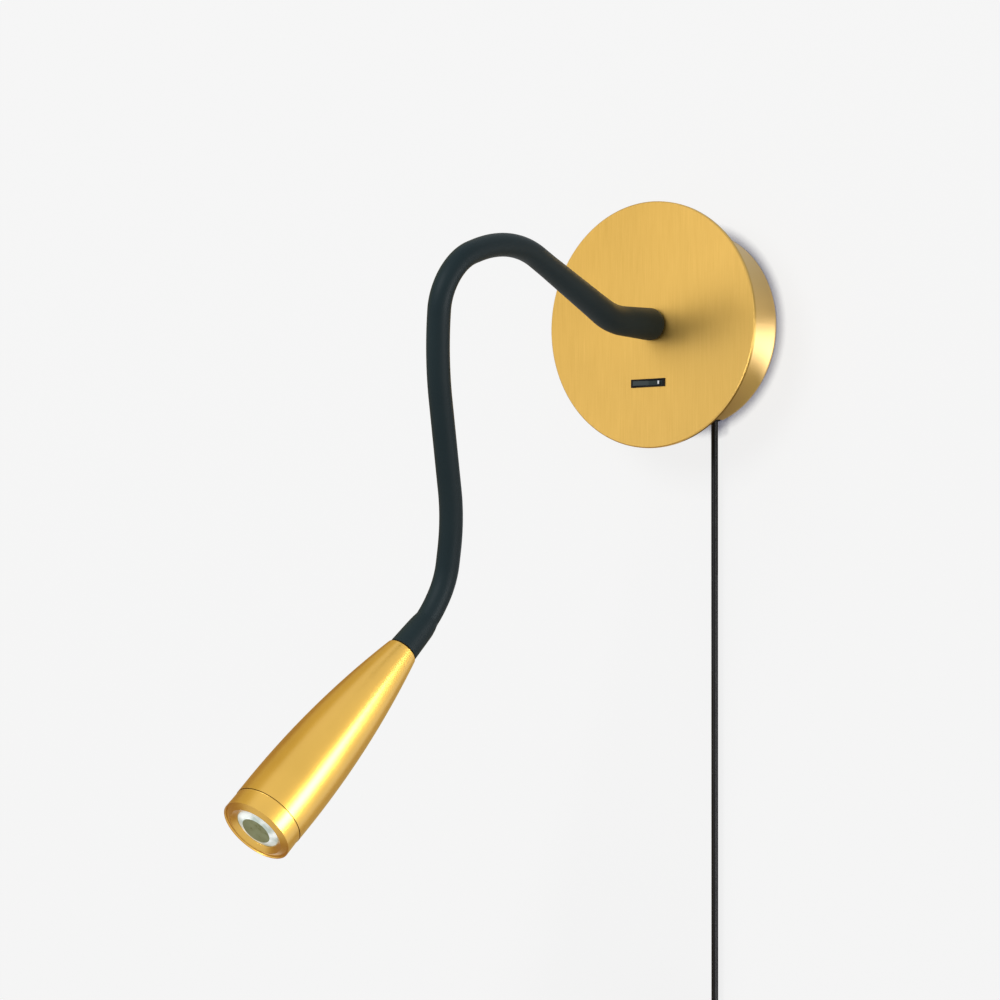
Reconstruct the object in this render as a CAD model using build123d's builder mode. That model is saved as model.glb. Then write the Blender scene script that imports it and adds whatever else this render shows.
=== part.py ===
from build123d import *
import os
from math import atan2, ceil, cos, degrees, pi, radians, sin, tan

os.makedirs("parts", exist_ok=True)

# Plug-in wall lamp: a round brass base on the wall, a gooseneck arm and a slim spot head.
# Sizes are in millimetres. The origin is where the drum's axis meets the wall, +Z is up, +X is to
# the right of someone facing the lamp, and the lamp stands out of the wall towards -Y.

# Clearances shared by all pieces
thread_clearance = 0.05
hole_clearance = 0.2
seat_clearance = 0.3

# Flat sides given to round stems and bores that no one sees, so that the whole model stays light
stem_sides = 8
sleeve_sides = 12
bore_sides = 16

# Face plate and drum
plate_diameter = 100.0
plate_thickness = 1.5
plate_edge_break = 0.4
drum_diameter = 79.5
drum_depth = 29.5
drum_wall = 1.2
drum_front_wall = 1.5
drum_rim_gap = 0.5

# Wall bracket and the screws that hold the drum on it
bracket_width = 14.0
bracket_thickness = 1.5
bracket_ear_width = 12.0
bracket_ear_reach = 13.0
slot_spacing = 44.0
slot_length = 8.0
slot_width = 4.4
side_screw_diameter = 4.0
side_screw_reach = 7.5
side_screw_head_diameter = 6.4
side_screw_head_height = 1.6
side_screw_overrun = 1.5

# Studs on the back of the face plate, and their nuts
stud_spacing = 60.0
stud_diameter = 3.0
stud_overrun = 0.8
stud_nut_across_flats = 5.5
stud_nut_height = 2.4

# Threaded arm foot
nipple_diameter = 10.0
nipple_overrun = 3.5
lock_nut_across_flats = 14.0
lock_nut_height = 4.0
foot_flange_diameter = 11.6
foot_flange_thickness = 1.2
ferrule_diameter = 9.2
ferrule_bore = 3.4

# Rocker switch
switch_x = -2.0
switch_z = -23.6
switch_flange_length = 16.4
switch_flange_height = 3.3
switch_flange_thickness = 0.5
switch_body_length = 15.6
switch_body_height = 2.9
switch_body_depth = 12.0
switch_side_wall = 0.35
switch_end_wall = 0.7
switch_cavity_depth = 4.0
rocker_play = 0.15
rocker_pin_diameter = 1.0
rocker_pivot_depth = 0.6
rocker_half_turn = 5.5
rocker_waist = 0.5
rocker_keel = 1.2
blade_width = 2.8
blade_thickness = 0.6
blade_length = 5.0
blade_spacing = 9.0

# Driver, terminal block and inner leads
driver_length = 44.0
driver_height = 19.0
driver_depth = 18.0
driver_bottom_z = 10.0
driver_edge = 1.5
pad_thickness = 1.0
pad_margin = 4.0
terminal_length = 16.0
terminal_height = 15.0
terminal_depth = 11.0
terminal_x = -17.0
terminal_top_z = -5.5
terminal_pitch = 8.0
terminal_screw_diameter = 3.0
terminal_screw_head_diameter = 5.0
terminal_screw_head_height = 1.6
clamp_screw_diameter = 3.2
clamp_screw_depth = 2.0
core_diameter = 1.0
lead_bend = 3.0
lead_entry = 4.5
lead_run = 8.0
mains_lead_slant = 7.0
mains_lead_dip = 3.0
switch_lead_shift = 9.0
switch_lead_setback = 1.0
lamp_lead_reach = 5.0

# Gooseneck arm. Its centreline lies in one plane through the base axis, leaning from the vertical.
# Each corner is (distance out of the plate, rise in the leaning plane), rounded to its radius.
arm_lean = 17.4
arm_corners = [
    (28.5, 0.0),
    (112.0, 29.0),
    (154.5, 14.0),
    (142.0, -24.0),
    (103.0, -88.5),
    (97.0, -114.0),
    (102.0, -129.5),
]
arm_corner_radii = [50.0, 64.0, 20.0, 170.0, 84.0, 28.0, 35.0]
arm_tip = (114.5, -144.0)
# Distances along the centreline, from the plate, at which the hose sections are jointed
joint_stations = [21.0, 54.0, 87.0, 122.0, 157.0, 188.0, 219.0, 252.0, 285.0, 317.0]
link_diameter = 6.4
link_wall = 0.32
link_bore = 2.6
link_shoulder = 3.0
link_lead = 1.2
link_chord = 5.0
spigot_diameter = 4.0
spigot_depth = 1.4
socket_depth = 2.8
sleeve_diameter = 9.6
sleeve_bore = 7.6
base_boot_diameter = 13.6
base_boot_tip_diameter = 10.6
base_boot_length = 20.0
head_boot_diameter = 11.4
head_boot_tip_diameter = 10.2
head_boot_length = 11.5
cable_diameter = 2.0
cable_head_reach = 12.0

# Spot head, turned on the axis of the arm's tip
head_diameter = 31.3
head_length = 105.4
head_bezel_length = 8.7
head_seam = 0.3
head_straight_length = 6.4
ogive_steps = 6
head_neck_diameter = 13.4
head_neck_break = 0.9
head_thread_diameter = 8.0
head_thread_length = 10.0
head_cavity_diameter = 26.8
head_cavity_length = 25.0
head_ferrule_shoulder = 3.5
bezel_spigot_length = 4.0
bezel_edge = 0.5
bezel_dish_diameter = 24.4
bezel_dish_depth = 1.5
lens_opening_diameter = 19.8
lens_land = 1.6
lens_crown_diameter = 13.0
lens_crown_height = 1.2
lens_flange_diameter = 22.6
lens_flange_thickness = 1.2
lens_foot_diameter = 7.0
lens_depth = 8.0
board_diameter = 20.0
board_thickness = 1.6
chip_size = 3.5
chip_height = 0.7
heat_sink_length = 16.0
heat_sink_bore = 3.0

# Mains cord with its put-away coil and plug
cord_diameter = 2.8
cord_x = 11.2
cord_reach = 3.0
cord_top_z = -28.0
grommet_diameter = 4.8
grommet_flange_diameter = 5.6
grommet_flange_height = 2.0
grommet_top_z = -33.7
grommet_overrun = 0.3
cord_stop_width = 6.6
cord_stop_depth = 6.4
cord_stop_edge = 0.5
stop_screw_diameter = 2.5
stop_screw_offset = 3.4
stop_screw_head_diameter = 4.2
stop_screw_head_height = 1.4
coil_centre_z = -300.0
coil_inner_radius = 11.6
coil_pitch = 3.3
coil_half_turns = 5
coil_sides = 4
tail_length = 10.0
tie_width = 5.0
tie_thickness = 0.8
tie_clearance = 0.5
relief_length = 24.0
relief_tip_diameter = 4.2
relief_diameter = 7.0
plug_width = 35.0
plug_thickness = 13.6
plug_length = 34.0
plug_shoulder_width = 24.0
plug_neck_width = 9.0
plug_shoulder_height = 21.0
plug_corner = 3.2
pin_diameter = 4.0
pin_length = 19.0
pin_spacing = 18.6
pin_tip_break = 0.8

# Sizes that follow from the ones above
plate_front = drum_depth + plate_thickness
drum_radius = drum_diameter / 2
drum_inner_radius = drum_radius - drum_wall
drum_floor = drum_depth - drum_front_wall
ear_radius = drum_inner_radius - seat_clearance
nipple_end = drum_floor - lock_nut_height - nipple_overrun
switch_back = plate_front - switch_body_depth
rocker_pivot = plate_front - rocker_pivot_depth
driver_back = drum_floor - pad_thickness - driver_depth
driver_mid_z = driver_bottom_z + driver_height / 2
terminal_back = drum_floor - terminal_depth
terminal_mid_z = terminal_top_z - terminal_height / 2
terminal_bottom_z = terminal_top_z - terminal_height
terminal_mid = drum_floor - terminal_depth / 2
link_socket = link_diameter * cos(pi / 8) - 2 * link_wall
head_radius = head_diameter / 2
head_shell_length = head_length - head_bezel_length - head_seam
lens_seat = head_length - bezel_dish_depth - lens_land
board_front = lens_seat - lens_flange_thickness - lens_depth - chip_height - thread_clearance
heat_sink_front = board_front - board_thickness
cord_radius = cord_diameter / 2


def out(distance):
    """A plane parallel to the wall, facing the room, at this distance out of the wall."""
    return Plane.XZ.offset(distance)


# Section through the base axis: first coordinate away from the axis, second out of the wall
base_axis = Axis((0, 0, 0), (0, -1, 0))
base_section = Plane((0, 0, 0), x_dir=(1, 0, 0), z_dir=(0, 0, -1))

lean = radians(arm_lean)
arm_plane = Plane((0, -plate_front, 0), x_dir=(0, -1, 0), z_dir=(-cos(lean), 0, sin(lean)))


def arm_line(behind, beyond):
    """The arm's centreline, run on straight behind the plate and beyond the tip."""
    last = Vector(*arm_corners[-1])
    tip = Vector(*arm_tip)
    end = tip + (tip - last).normalized() * beyond
    with BuildLine(arm_plane) as line:
        FilletPolyline((-behind, 0), *arm_corners, (end.X, end.Y), radius=arm_corner_radii)
    return line.wire()


arm = arm_line(0, 0)
arm_length = arm.length


def arm_point(station):
    return arm.position_at(station / arm_length)


def arm_tangent(station):
    return arm.tangent_at(station / arm_length)


# Section through the head's axis: first coordinate away from the axis, second towards the lens
head_origin = arm_point(arm_length)
head_direction = arm_tangent(arm_length)
head_axis = Axis(head_origin, head_direction)
head_section = Plane(
    head_origin,
    x_dir=head_direction.cross(arm_plane.z_dir),
    z_dir=arm_plane.z_dir,
)


def head_plane(along):
    """A plane square to the head's axis, facing the lens."""
    return Plane(head_origin + head_direction * along, x_dir=head_section.x_dir, z_dir=head_direction)


def turn(section, axis, *corners):
    """A turned body from the corners of its half section, added to the current part."""
    with BuildSketch(section) as outline:
        with BuildLine():
            Polyline(*corners, close=True)
        make_face()
    revolve(outline.sketch, axis=axis)


def bent_run(*points):
    """A lead's path: straight runs joined by arcs."""
    with BuildLine() as line:
        FilletPolyline(*points, radius=lead_bend)
    return line.wire()


def start_plane(path):
    return Plane(path.position_at(0), z_dir=path.tangent_at(0))


def round_tube(path, diameter):
    """A solid round rod along a path, added to the current part."""
    with BuildSketch(start_plane(path)) as section:
        Circle(diameter / 2)
    sweep(section.sketch, path=path)


def faceted_rod(path, diameter, sides, outside=True, mode=Mode.ADD):
    """A rod with flat sides along a path; the diameter is over the corners, or inside the flats."""
    with BuildSketch(start_plane(path)) as section:
        RegularPolygon(diameter / 2, sides, major_radius=outside)
    sweep(section.sketch, path=path, transition=Transition.RIGHT, mode=mode)


def straight(start, end):
    with BuildLine() as line:
        Line(start, end)
    return line.wire()


def stem(diameter, mode=Mode.ADD):
    """A hidden round stem drawn with flats that stay inside its diameter."""
    return RegularPolygon(diameter / 2, stem_sides, mode=mode)


def stem_hole(diameter, clearance, mode=Mode.ADD):
    """A hole for a hidden stem, with flats that stay clear of it."""
    return RegularPolygon(diameter / 2 + clearance, stem_sides, major_radius=False, mode=mode)


def save(part, name):
    part.label = name
    export_step(part, f"parts/{name}.step")


# Wall bracket: a flat strip with two slots, and two ears that lie just inside the drum
with BuildPart() as wall_bracket:
    with BuildSketch(out(0)):
        Circle(ear_radius)
        Rectangle(bracket_width, 2 * ear_radius, mode=Mode.INTERSECT)
        with GridLocations(0, slot_spacing, 1, 2):
            SlotOverall(slot_length, slot_width, rotation=90, mode=Mode.SUBTRACT)
    extrude(amount=bracket_thickness)
    with BuildSketch(out(0)):
        Circle(ear_radius)
        Circle(ear_radius - bracket_thickness, mode=Mode.SUBTRACT)
        Rectangle(bracket_ear_width, 2 * drum_radius, mode=Mode.INTERSECT)
    extrude(amount=bracket_ear_reach)
    with BuildSketch(Plane.XY):
        with Locations((0, -side_screw_reach)):
            stem_hole(side_screw_diameter, thread_clearance)
    extrude(amount=drum_radius, both=True, mode=Mode.SUBTRACT)
save(wall_bracket.part, "wall_bracket")

# Screws through the drum into the bracket's ears, one above and one below
with BuildPart() as side_screws:
    shank = drum_wall + seat_clearance + bracket_thickness + side_screw_overrun
    for side in (1, -1):
        with BuildSketch(Plane.XY.offset(side * drum_radius)):
            with Locations((0, -side_screw_reach)):
                Circle(side_screw_head_diameter / 2)
        extrude(amount=side * side_screw_head_height)
        with BuildSketch(Plane.XY.offset(side * drum_radius)):
            with Locations((0, -side_screw_reach)):
                stem(side_screw_diameter)
        extrude(amount=-side * shank)
save(side_screws.part, "side_screws")

# Drum: a deep cup, open to the wall, with a notch in its rim for the cord
with BuildPart() as base_cup:
    with BuildSketch(out(drum_rim_gap)):
        Circle(drum_radius)
    extrude(amount=drum_depth - drum_rim_gap)
    with BuildSketch(out(drum_rim_gap)):
        Circle(drum_inner_radius)
    extrude(amount=drum_floor - drum_rim_gap, mode=Mode.SUBTRACT)
    with BuildSketch(out(drum_floor)):
        Circle(nipple_diameter / 2 + hole_clearance)
        with GridLocations(stud_spacing, 0, 2, 1):
            stem_hole(stud_diameter, hole_clearance)
        with Locations((switch_x, switch_z)):
            Rectangle(switch_body_length + hole_clearance, switch_body_height + hole_clearance)
        with Locations((terminal_x, terminal_mid_z)):
            stem_hole(terminal_screw_diameter, thread_clearance)
    extrude(amount=drum_front_wall, mode=Mode.SUBTRACT)
    with BuildSketch(Plane.XY):
        with Locations((0, -side_screw_reach)):
            stem_hole(side_screw_diameter, hole_clearance)
    extrude(amount=drum_radius, both=True, mode=Mode.SUBTRACT)
    with BuildSketch(Plane.XY):
        with Locations((cord_x, -cord_reach)):
            stem_hole(grommet_diameter, thread_clearance)
        with Locations((cord_x, -cord_reach / 2)):
            Rectangle(grommet_diameter + 2 * thread_clearance, cord_reach)
    extrude(amount=-drum_radius, mode=Mode.SUBTRACT)
save(base_cup.part, "base_cup")

# Face plate, with two studs welded to its back
with BuildPart() as face_plate:
    with BuildSketch(out(drum_depth)):
        Circle(plate_diameter / 2)
        Circle(nipple_diameter / 2 + hole_clearance, mode=Mode.SUBTRACT)
        with Locations((switch_x, switch_z)):
            Rectangle(
                switch_body_length + hole_clearance,
                switch_body_height + hole_clearance,
                mode=Mode.SUBTRACT,
            )
    extrude(amount=plate_thickness)
    outer_edges = face_plate.edges().filter_by(GeomType.CIRCLE).group_by(SortBy.RADIUS)[-1]
    chamfer(outer_edges.sort_by(Axis.Y)[0], plate_edge_break)
    with BuildSketch(out(drum_depth)):
        with GridLocations(stud_spacing, 0, 2, 1):
            stem(stud_diameter)
    extrude(amount=-(drum_front_wall + stud_nut_height + stud_overrun))
save(face_plate.part, "face_plate")

with BuildPart() as plate_nuts:
    with BuildSketch(out(drum_floor - stud_nut_height)):
        with GridLocations(stud_spacing, 0, 2, 1):
            RegularPolygon(stud_nut_across_flats / 2, 6, major_radius=False)
            stem_hole(stud_diameter, thread_clearance, mode=Mode.SUBTRACT)
    extrude(amount=stud_nut_height)
save(plate_nuts.part, "plate_nuts")

# Arm foot: a threaded nipple through drum and plate, a flange on the plate and a socketed barrel
foot_socket = plate_front + joint_stations[0]
with BuildPart() as base_ferrule:
    turn(
        base_section,
        base_axis,
        (0, nipple_end),
        (nipple_diameter / 2, nipple_end),
        (nipple_diameter / 2, plate_front),
        (foot_flange_diameter / 2, plate_front),
        (foot_flange_diameter / 2, plate_front + foot_flange_thickness),
        (ferrule_diameter / 2, plate_front + foot_flange_thickness),
        (ferrule_diameter / 2, foot_socket),
        (0, foot_socket),
    )
    with BuildSketch(out(nipple_end)):
        stem_hole(ferrule_bore, 0)
    extrude(amount=foot_socket - nipple_end, mode=Mode.SUBTRACT)
    with BuildSketch(out(foot_socket)):
        stem_hole(link_socket, 0)
    extrude(amount=-socket_depth, mode=Mode.SUBTRACT)
save(base_ferrule.part, "base_ferrule")

with BuildPart() as lock_nut:
    with BuildSketch(out(drum_floor - lock_nut_height)):
        RegularPolygon(lock_nut_across_flats / 2, 6, major_radius=False)
        Circle(nipple_diameter / 2 + thread_clearance, mode=Mode.SUBTRACT)
    extrude(amount=lock_nut_height)
save(lock_nut.part, "lock_nut")

# Switch housing: a slim frame on the plate, with a trough for the rocker
cavity_length = switch_body_length - 2 * switch_end_wall
cavity_height = switch_body_height - 2 * switch_side_wall
with BuildPart() as switch_housing:
    with BuildSketch(out(plate_front)):
        with Locations((switch_x, switch_z)):
            Rectangle(switch_flange_length, switch_flange_height)
    extrude(amount=switch_flange_thickness)
    with BuildSketch(out(switch_back)):
        with Locations((switch_x, switch_z)):
            Rectangle(switch_body_length, switch_body_height)
    extrude(amount=switch_body_depth)
    with BuildSketch(out(plate_front - switch_cavity_depth)):
        with Locations((switch_x, switch_z)):
            Rectangle(cavity_length, cavity_height)
    extrude(amount=switch_cavity_depth + switch_flange_thickness, mode=Mode.SUBTRACT)
    with BuildSketch(Plane.XY.offset(switch_z)):
        with Locations((switch_x, -rocker_pivot)):
            stem_hole(rocker_pin_diameter, thread_clearance)
    extrude(amount=switch_body_height, both=True, mode=Mode.SUBTRACT)
save(switch_housing.part, "switch_housing")

# Rocker: hollowed face, rounded keel and two pivot stubs, tipped with its right end up
rocker_half_length = cavity_length / 2 - rocker_play
rocker_rise = rocker_half_length * tan(radians(rocker_half_turn))
rocker_plane = Plane(
    (switch_x, -rocker_pivot, switch_z),
    x_dir=(1, 0, 0),
    z_dir=(0, 0, -1),
).rotated((0, 0, rocker_half_turn))
with BuildPart() as rocker:
    with BuildSketch(rocker_plane):
        with BuildLine():
            Polyline(
                (-rocker_half_length, 0),
                (-rocker_half_length, rocker_waist + rocker_rise),
                (0, rocker_waist),
                (rocker_half_length, rocker_waist + rocker_rise),
                (rocker_half_length, 0),
            )
            ThreePointArc((rocker_half_length, 0), (0, -rocker_keel), (-rocker_half_length, 0))
        make_face()
    extrude(amount=cavity_height / 2 - rocker_play, both=True)
    with BuildSketch(rocker_plane):
        stem(rocker_pin_diameter)
    extrude(amount=switch_body_height / 2, both=True)
save(rocker.part, "rocker")

with BuildPart() as switch_blades:
    with BuildSketch(out(switch_back)):
        with Locations((switch_x, switch_z)):
            with GridLocations(blade_spacing, 0, 2, 1):
                Rectangle(blade_width, blade_thickness)
    extrude(amount=-blade_length)
save(switch_blades.part, "switch_blades")

# LED driver on its adhesive pad, on the inside of the drum's front wall
with BuildPart() as led_driver:
    with BuildSketch(out(driver_back)):
        with Locations((0, driver_mid_z)):
            Rectangle(driver_length, driver_height)
    extrude(amount=driver_depth)
    chamfer(led_driver.edges().filter_by(Axis.Y), driver_edge)
save(led_driver.part, "led_driver")

with BuildPart() as driver_pad:
    with BuildSketch(out(drum_floor - pad_thickness)):
        with Locations((0, driver_mid_z)):
            Rectangle(driver_length - pad_margin, driver_height - pad_margin)
    extrude(amount=pad_thickness)
save(driver_pad.part, "driver_pad")

# Two-pole terminal block with its fixing screw and wells for the clamping screws
with BuildPart() as terminal_block:
    with BuildSketch(out(terminal_back)):
        with Locations((terminal_x, terminal_mid_z)):
            Rectangle(terminal_length, terminal_height)
            stem_hole(terminal_screw_diameter, hole_clearance, mode=Mode.SUBTRACT)
    extrude(amount=terminal_depth)
    with BuildSketch(out(terminal_back)):
        with Locations((terminal_x, terminal_mid_z)):
            with GridLocations(terminal_pitch, terminal_height - terminal_pitch, 2, 2):
                stem(clamp_screw_diameter)
    extrude(amount=clamp_screw_depth, mode=Mode.SUBTRACT)
save(terminal_block.part, "terminal_block")

with BuildPart() as terminal_screw:
    with BuildSketch(out(terminal_back)):
        with Locations((terminal_x, terminal_mid_z)):
            stem(terminal_screw_head_diameter)
    extrude(amount=-terminal_screw_head_height)
    with BuildSketch(out(terminal_back)):
        with Locations((terminal_x, terminal_mid_z)):
            stem(terminal_screw_diameter)
    extrude(amount=terminal_depth + drum_front_wall - hole_clearance)
save(terminal_screw.part, "terminal_screw")

# Leads from the terminal block up to the driver
pole_x = [terminal_x - terminal_pitch / 2, terminal_x + terminal_pitch / 2]
with BuildPart() as driver_leads:
    for x in pole_x:
        faceted_rod(
            straight((x, -terminal_mid, terminal_top_z), (x, -terminal_mid, driver_bottom_z)),
            core_diameter,
            6,
        )
save(driver_leads.part, "driver_leads")

# Leads from the end of the cord to the terminal block
with BuildPart() as mains_leads:
    for x, shift in zip(pole_x, (-core_diameter / 2, core_diameter / 2)):
        path = bent_run(
            (cord_x, -cord_reach - shift, cord_top_z),
            (cord_x, -cord_reach - shift, cord_top_z + lead_entry),
            (x + mains_lead_slant, -terminal_mid + mains_lead_slant - shift, cord_top_z - mains_lead_dip),
            (x, -terminal_mid, terminal_bottom_z - lead_run),
            (x, -terminal_mid, terminal_bottom_z),
        )
        faceted_rod(path, core_diameter, 4)
save(mains_leads.part, "mains_leads")

# Leads from the switch up to the driver, and from the arm's cable up to the driver
blade_end = switch_back - blade_length
with BuildPart() as switch_leads:
    for side in (-1, 1):
        x = switch_x + side * blade_spacing / 2
        path = bent_run(
            (x, -blade_end, switch_z),
            (x, -blade_end + lead_entry, switch_z),
            (x + switch_lead_shift, -blade_end + switch_lead_setback, driver_bottom_z - lead_run),
            (x + switch_lead_shift, -blade_end + switch_lead_setback, driver_bottom_z),
        )
        faceted_rod(path, core_diameter, 4)
save(switch_leads.part, "switch_leads")

with BuildPart() as lamp_leads:
    for side in (-1, 1):
        x = side * core_diameter / 2
        path = bent_run(
            (x, -nipple_end, 0),
            (x, -nipple_end + lamp_lead_reach, 0),
            (x, -nipple_end + lamp_lead_reach, driver_bottom_z),
        )
        faceted_rod(path, core_diameter, 4)
save(lamp_leads.part, "lamp_leads")


# Hose sections of the gooseneck: each has a spigot that rocks in the socket of the one before
def link_path(start, end):
    """The bent centreline of one hose section, square to the arm at both of its joints."""
    first = arm_point(start) + arm_tangent(start) * link_shoulder
    second = first + arm_tangent(start) * link_lead
    last = arm_point(end)
    before = last - arm_tangent(end) * (socket_depth + link_lead)
    inner_start = start + link_shoulder + 2 * link_lead
    inner_end = end - socket_depth - 2 * link_lead
    count = ceil((inner_end - inner_start) / link_chord)
    points = [first, second]
    for step in range(1, count):
        points.append(arm_point(inner_start + (inner_end - inner_start) * step / count))
    points += [before, last]
    kept = [points[0]]
    for point, after in zip(points[1:], points[2:]):
        if (point - kept[-1]).get_angle(after - point) > 0.2:
            kept.append(point)
    kept.append(points[-1])
    with BuildLine() as line:
        Polyline(*kept)
    return line.wire()


def spigot_path(station, length):
    return straight(
        arm_point(station) - arm_tangent(station) * spigot_depth,
        arm_point(station) + arm_tangent(station) * length,
    )


def socket_path(station):
    return straight(
        arm_point(station) - arm_tangent(station) * socket_depth,
        arm_point(station) + arm_tangent(station) * link_lead,
    )


for number, (start, end) in enumerate(zip(joint_stations, joint_stations[1:]), 1):
    with BuildPart() as link:
        faceted_rod(link_path(start, end), link_diameter, stem_sides)
        faceted_rod(spigot_path(start, link_shoulder), spigot_diameter, stem_sides)
        for path in (link_path(start, end), spigot_path(start, link_shoulder)):
            faceted_rod(path, link_bore, 4, outside=False, mode=Mode.SUBTRACT)
        faceted_rod(socket_path(end), link_socket, stem_sides, outside=False, mode=Mode.SUBTRACT)
    save(link.part, f"gooseneck_link_{number}")

# Head ferrule: the last spigot, a barrel under the boot and the thread in the head's neck
head_joint = joint_stations[-1]
ferrule_back = head_joint + head_ferrule_shoulder - arm_length
with BuildPart() as head_ferrule:
    turn(
        head_section,
        head_axis,
        (0, ferrule_back),
        (ferrule_diameter / 2, ferrule_back),
        (ferrule_diameter / 2, 0),
        (head_thread_diameter / 2, 0),
        (head_thread_diameter / 2, head_thread_length),
        (0, head_thread_length),
    )
    faceted_rod(spigot_path(head_joint, head_ferrule_shoulder), spigot_diameter, stem_sides)
    faceted_rod(
        spigot_path(head_joint, arm_length - head_joint + head_thread_length),
        link_bore,
        stem_sides,
        outside=False,
        mode=Mode.SUBTRACT,
    )
save(head_ferrule.part, "head_ferrule")

# Soft sleeve over the whole arm, swelling into a boot at each end
boot_bore = ferrule_diameter / 2 + thread_clearance
flange_bore = foot_flange_diameter / 2 + thread_clearance
with BuildPart() as gooseneck_sleeve:
    faceted_rod(arm, sleeve_diameter, sleeve_sides)
    turn(
        base_section,
        base_axis,
        (0, plate_front),
        (base_boot_diameter / 2, plate_front),
        (base_boot_tip_diameter / 2, plate_front + base_boot_length),
        (0, plate_front + base_boot_length),
    )
    turn(
        head_section,
        head_axis,
        (0, -head_boot_length),
        (head_boot_tip_diameter / 2, -head_boot_length),
        (head_boot_diameter / 2, 0),
        (0, 0),
    )
    faceted_rod(arm_line(link_lead, link_lead), sleeve_bore, stem_sides, outside=False, mode=Mode.SUBTRACT)
    with BuildSketch(out(plate_front)):
        Circle(flange_bore)
    extrude(amount=foot_flange_thickness + hole_clearance, mode=Mode.SUBTRACT)
    with BuildSketch(out(plate_front)):
        Circle(boot_bore)
    extrude(amount=joint_stations[0] + thread_clearance, mode=Mode.SUBTRACT)
    with BuildSketch(head_plane(0)):
        Circle(boot_bore)
    extrude(amount=ferrule_back - thread_clearance, mode=Mode.SUBTRACT)
save(gooseneck_sleeve.part, "gooseneck_sleeve")

# Two-core cable through the arm, from the nipple to the inside of the head
cable_path = arm_line(plate_front - nipple_end, cable_head_reach)
with BuildPart() as arm_cable:
    faceted_rod(cable_path, cable_diameter, 6)
save(arm_cable.part, "arm_cable")

# Head shell: a long ogive from the neck to a plain cylinder, bored from the front
neck_radius = head_neck_diameter / 2
cavity_radius = head_cavity_diameter / 2
ogive_end = head_shell_length - head_straight_length
ogive_height = ogive_end - head_neck_break
ogive_depth = head_radius - neck_radius
ogive_radius = (ogive_height**2 + ogive_depth**2) / (2 * ogive_depth)


def ogive_point(share):
    """A point of the head's side, on an arc that runs from the cylinder down to the neck."""
    drop = ogive_height * share
    inset = ogive_radius - (ogive_radius**2 - drop**2) ** 0.5
    return head_radius - inset, ogive_end - drop


# The bore is straight behind the bezel, then narrows towards the thread like a funnel
cavity_plane = Plane(
    head_origin + head_direction * (head_shell_length - head_cavity_length),
    x_dir=head_section.x_dir,
    z_dir=-head_direction,
)
funnel_length = head_shell_length - head_cavity_length - head_thread_length
funnel_narrows = cavity_radius - head_thread_diameter / 2 - thread_clearance
funnel_taper = degrees(atan2(funnel_narrows, funnel_length))
with BuildPart() as head_shell:
    with BuildSketch(head_section):
        with BuildLine():
            Polyline(
                (neck_radius, head_neck_break),
                (neck_radius - head_neck_break, 0),
                (0, 0),
                (0, head_shell_length),
                (head_radius, head_shell_length),
                (head_radius, ogive_end),
                *[ogive_point(step / ogive_steps) for step in range(1, ogive_steps)],
                close=True,
            )
        make_face()
    revolve(axis=head_axis)
    with BuildSketch(head_plane(0)):
        stem_hole(head_thread_diameter, thread_clearance)
    extrude(amount=head_shell_length, mode=Mode.SUBTRACT)
    with BuildSketch(cavity_plane):
        RegularPolygon(cavity_radius, bore_sides, major_radius=False)
    extrude(amount=-head_cavity_length, mode=Mode.SUBTRACT)
    with BuildSketch(cavity_plane):
        RegularPolygon(cavity_radius, bore_sides, major_radius=False)
    extrude(amount=funnel_length, taper=funnel_taper, mode=Mode.SUBTRACT)
save(head_shell.part, "head_shell")

# Bezel ring: screwed into the shell, with a dished front and a land that holds the lens
lens_pocket = lens_flange_diameter / 2 + hole_clearance
bezel_back = head_length - head_bezel_length
spigot_radius = cavity_radius - thread_clearance
with BuildPart() as head_bezel:
    turn(
        head_section,
        head_axis,
        (lens_opening_diameter / 2, bezel_back),
        (head_radius, bezel_back),
        (head_radius, head_length - bezel_edge),
        (head_radius - bezel_edge, head_length),
        (bezel_dish_diameter / 2, head_length),
        (lens_opening_diameter / 2, head_length - bezel_dish_depth),
    )
    with BuildSketch(head_plane(bezel_back - bezel_spigot_length)):
        RegularPolygon(spigot_radius, bore_sides, major_radius=False)
    extrude(amount=bezel_spigot_length)
    with BuildSketch(head_plane(bezel_back - bezel_spigot_length)):
        RegularPolygon(lens_pocket, bore_sides, major_radius=False)
    extrude(amount=lens_seat - bezel_back + bezel_spigot_length, mode=Mode.SUBTRACT)
save(head_bezel.part, "head_bezel")

# Lens: a clear light guide with a raised crown, a flange under the bezel and a pocket for the chip
lens_radius = lens_opening_diameter / 2 - hole_clearance
lens_shoulder = head_length - bezel_dish_depth - hole_clearance
lens_back = lens_seat - lens_flange_thickness
with BuildPart() as lens:
    turn(
        head_section,
        head_axis,
        (0, lens_back - lens_depth),
        (lens_foot_diameter / 2, lens_back - lens_depth),
        (lens_flange_diameter / 2, lens_back),
        (lens_flange_diameter / 2, lens_seat),
        (lens_radius, lens_seat),
        (lens_radius, lens_shoulder),
        (lens_crown_diameter / 2, lens_shoulder + lens_crown_height),
        (0, lens_shoulder + lens_crown_height),
    )
save(lens.part, "lens")

with BuildPart() as led_chip:
    with BuildSketch(head_plane(board_front)):
        Rectangle(chip_size, chip_size)
    extrude(amount=chip_height)
save(led_chip.part, "led_chip")

with BuildPart() as led_board:
    with BuildSketch(head_plane(heat_sink_front)):
        RegularPolygon(board_diameter / 2, 6)
    extrude(amount=board_thickness)
save(led_board.part, "led_board")

with BuildPart() as heat_sink:
    with BuildSketch(head_plane(heat_sink_front)):
        RegularPolygon(spigot_radius, bore_sides, major_radius=False)
        stem_hole(heat_sink_bore, 0, mode=Mode.SUBTRACT)
    extrude(amount=-heat_sink_length)
save(heat_sink.part, "heat_sink")

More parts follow.
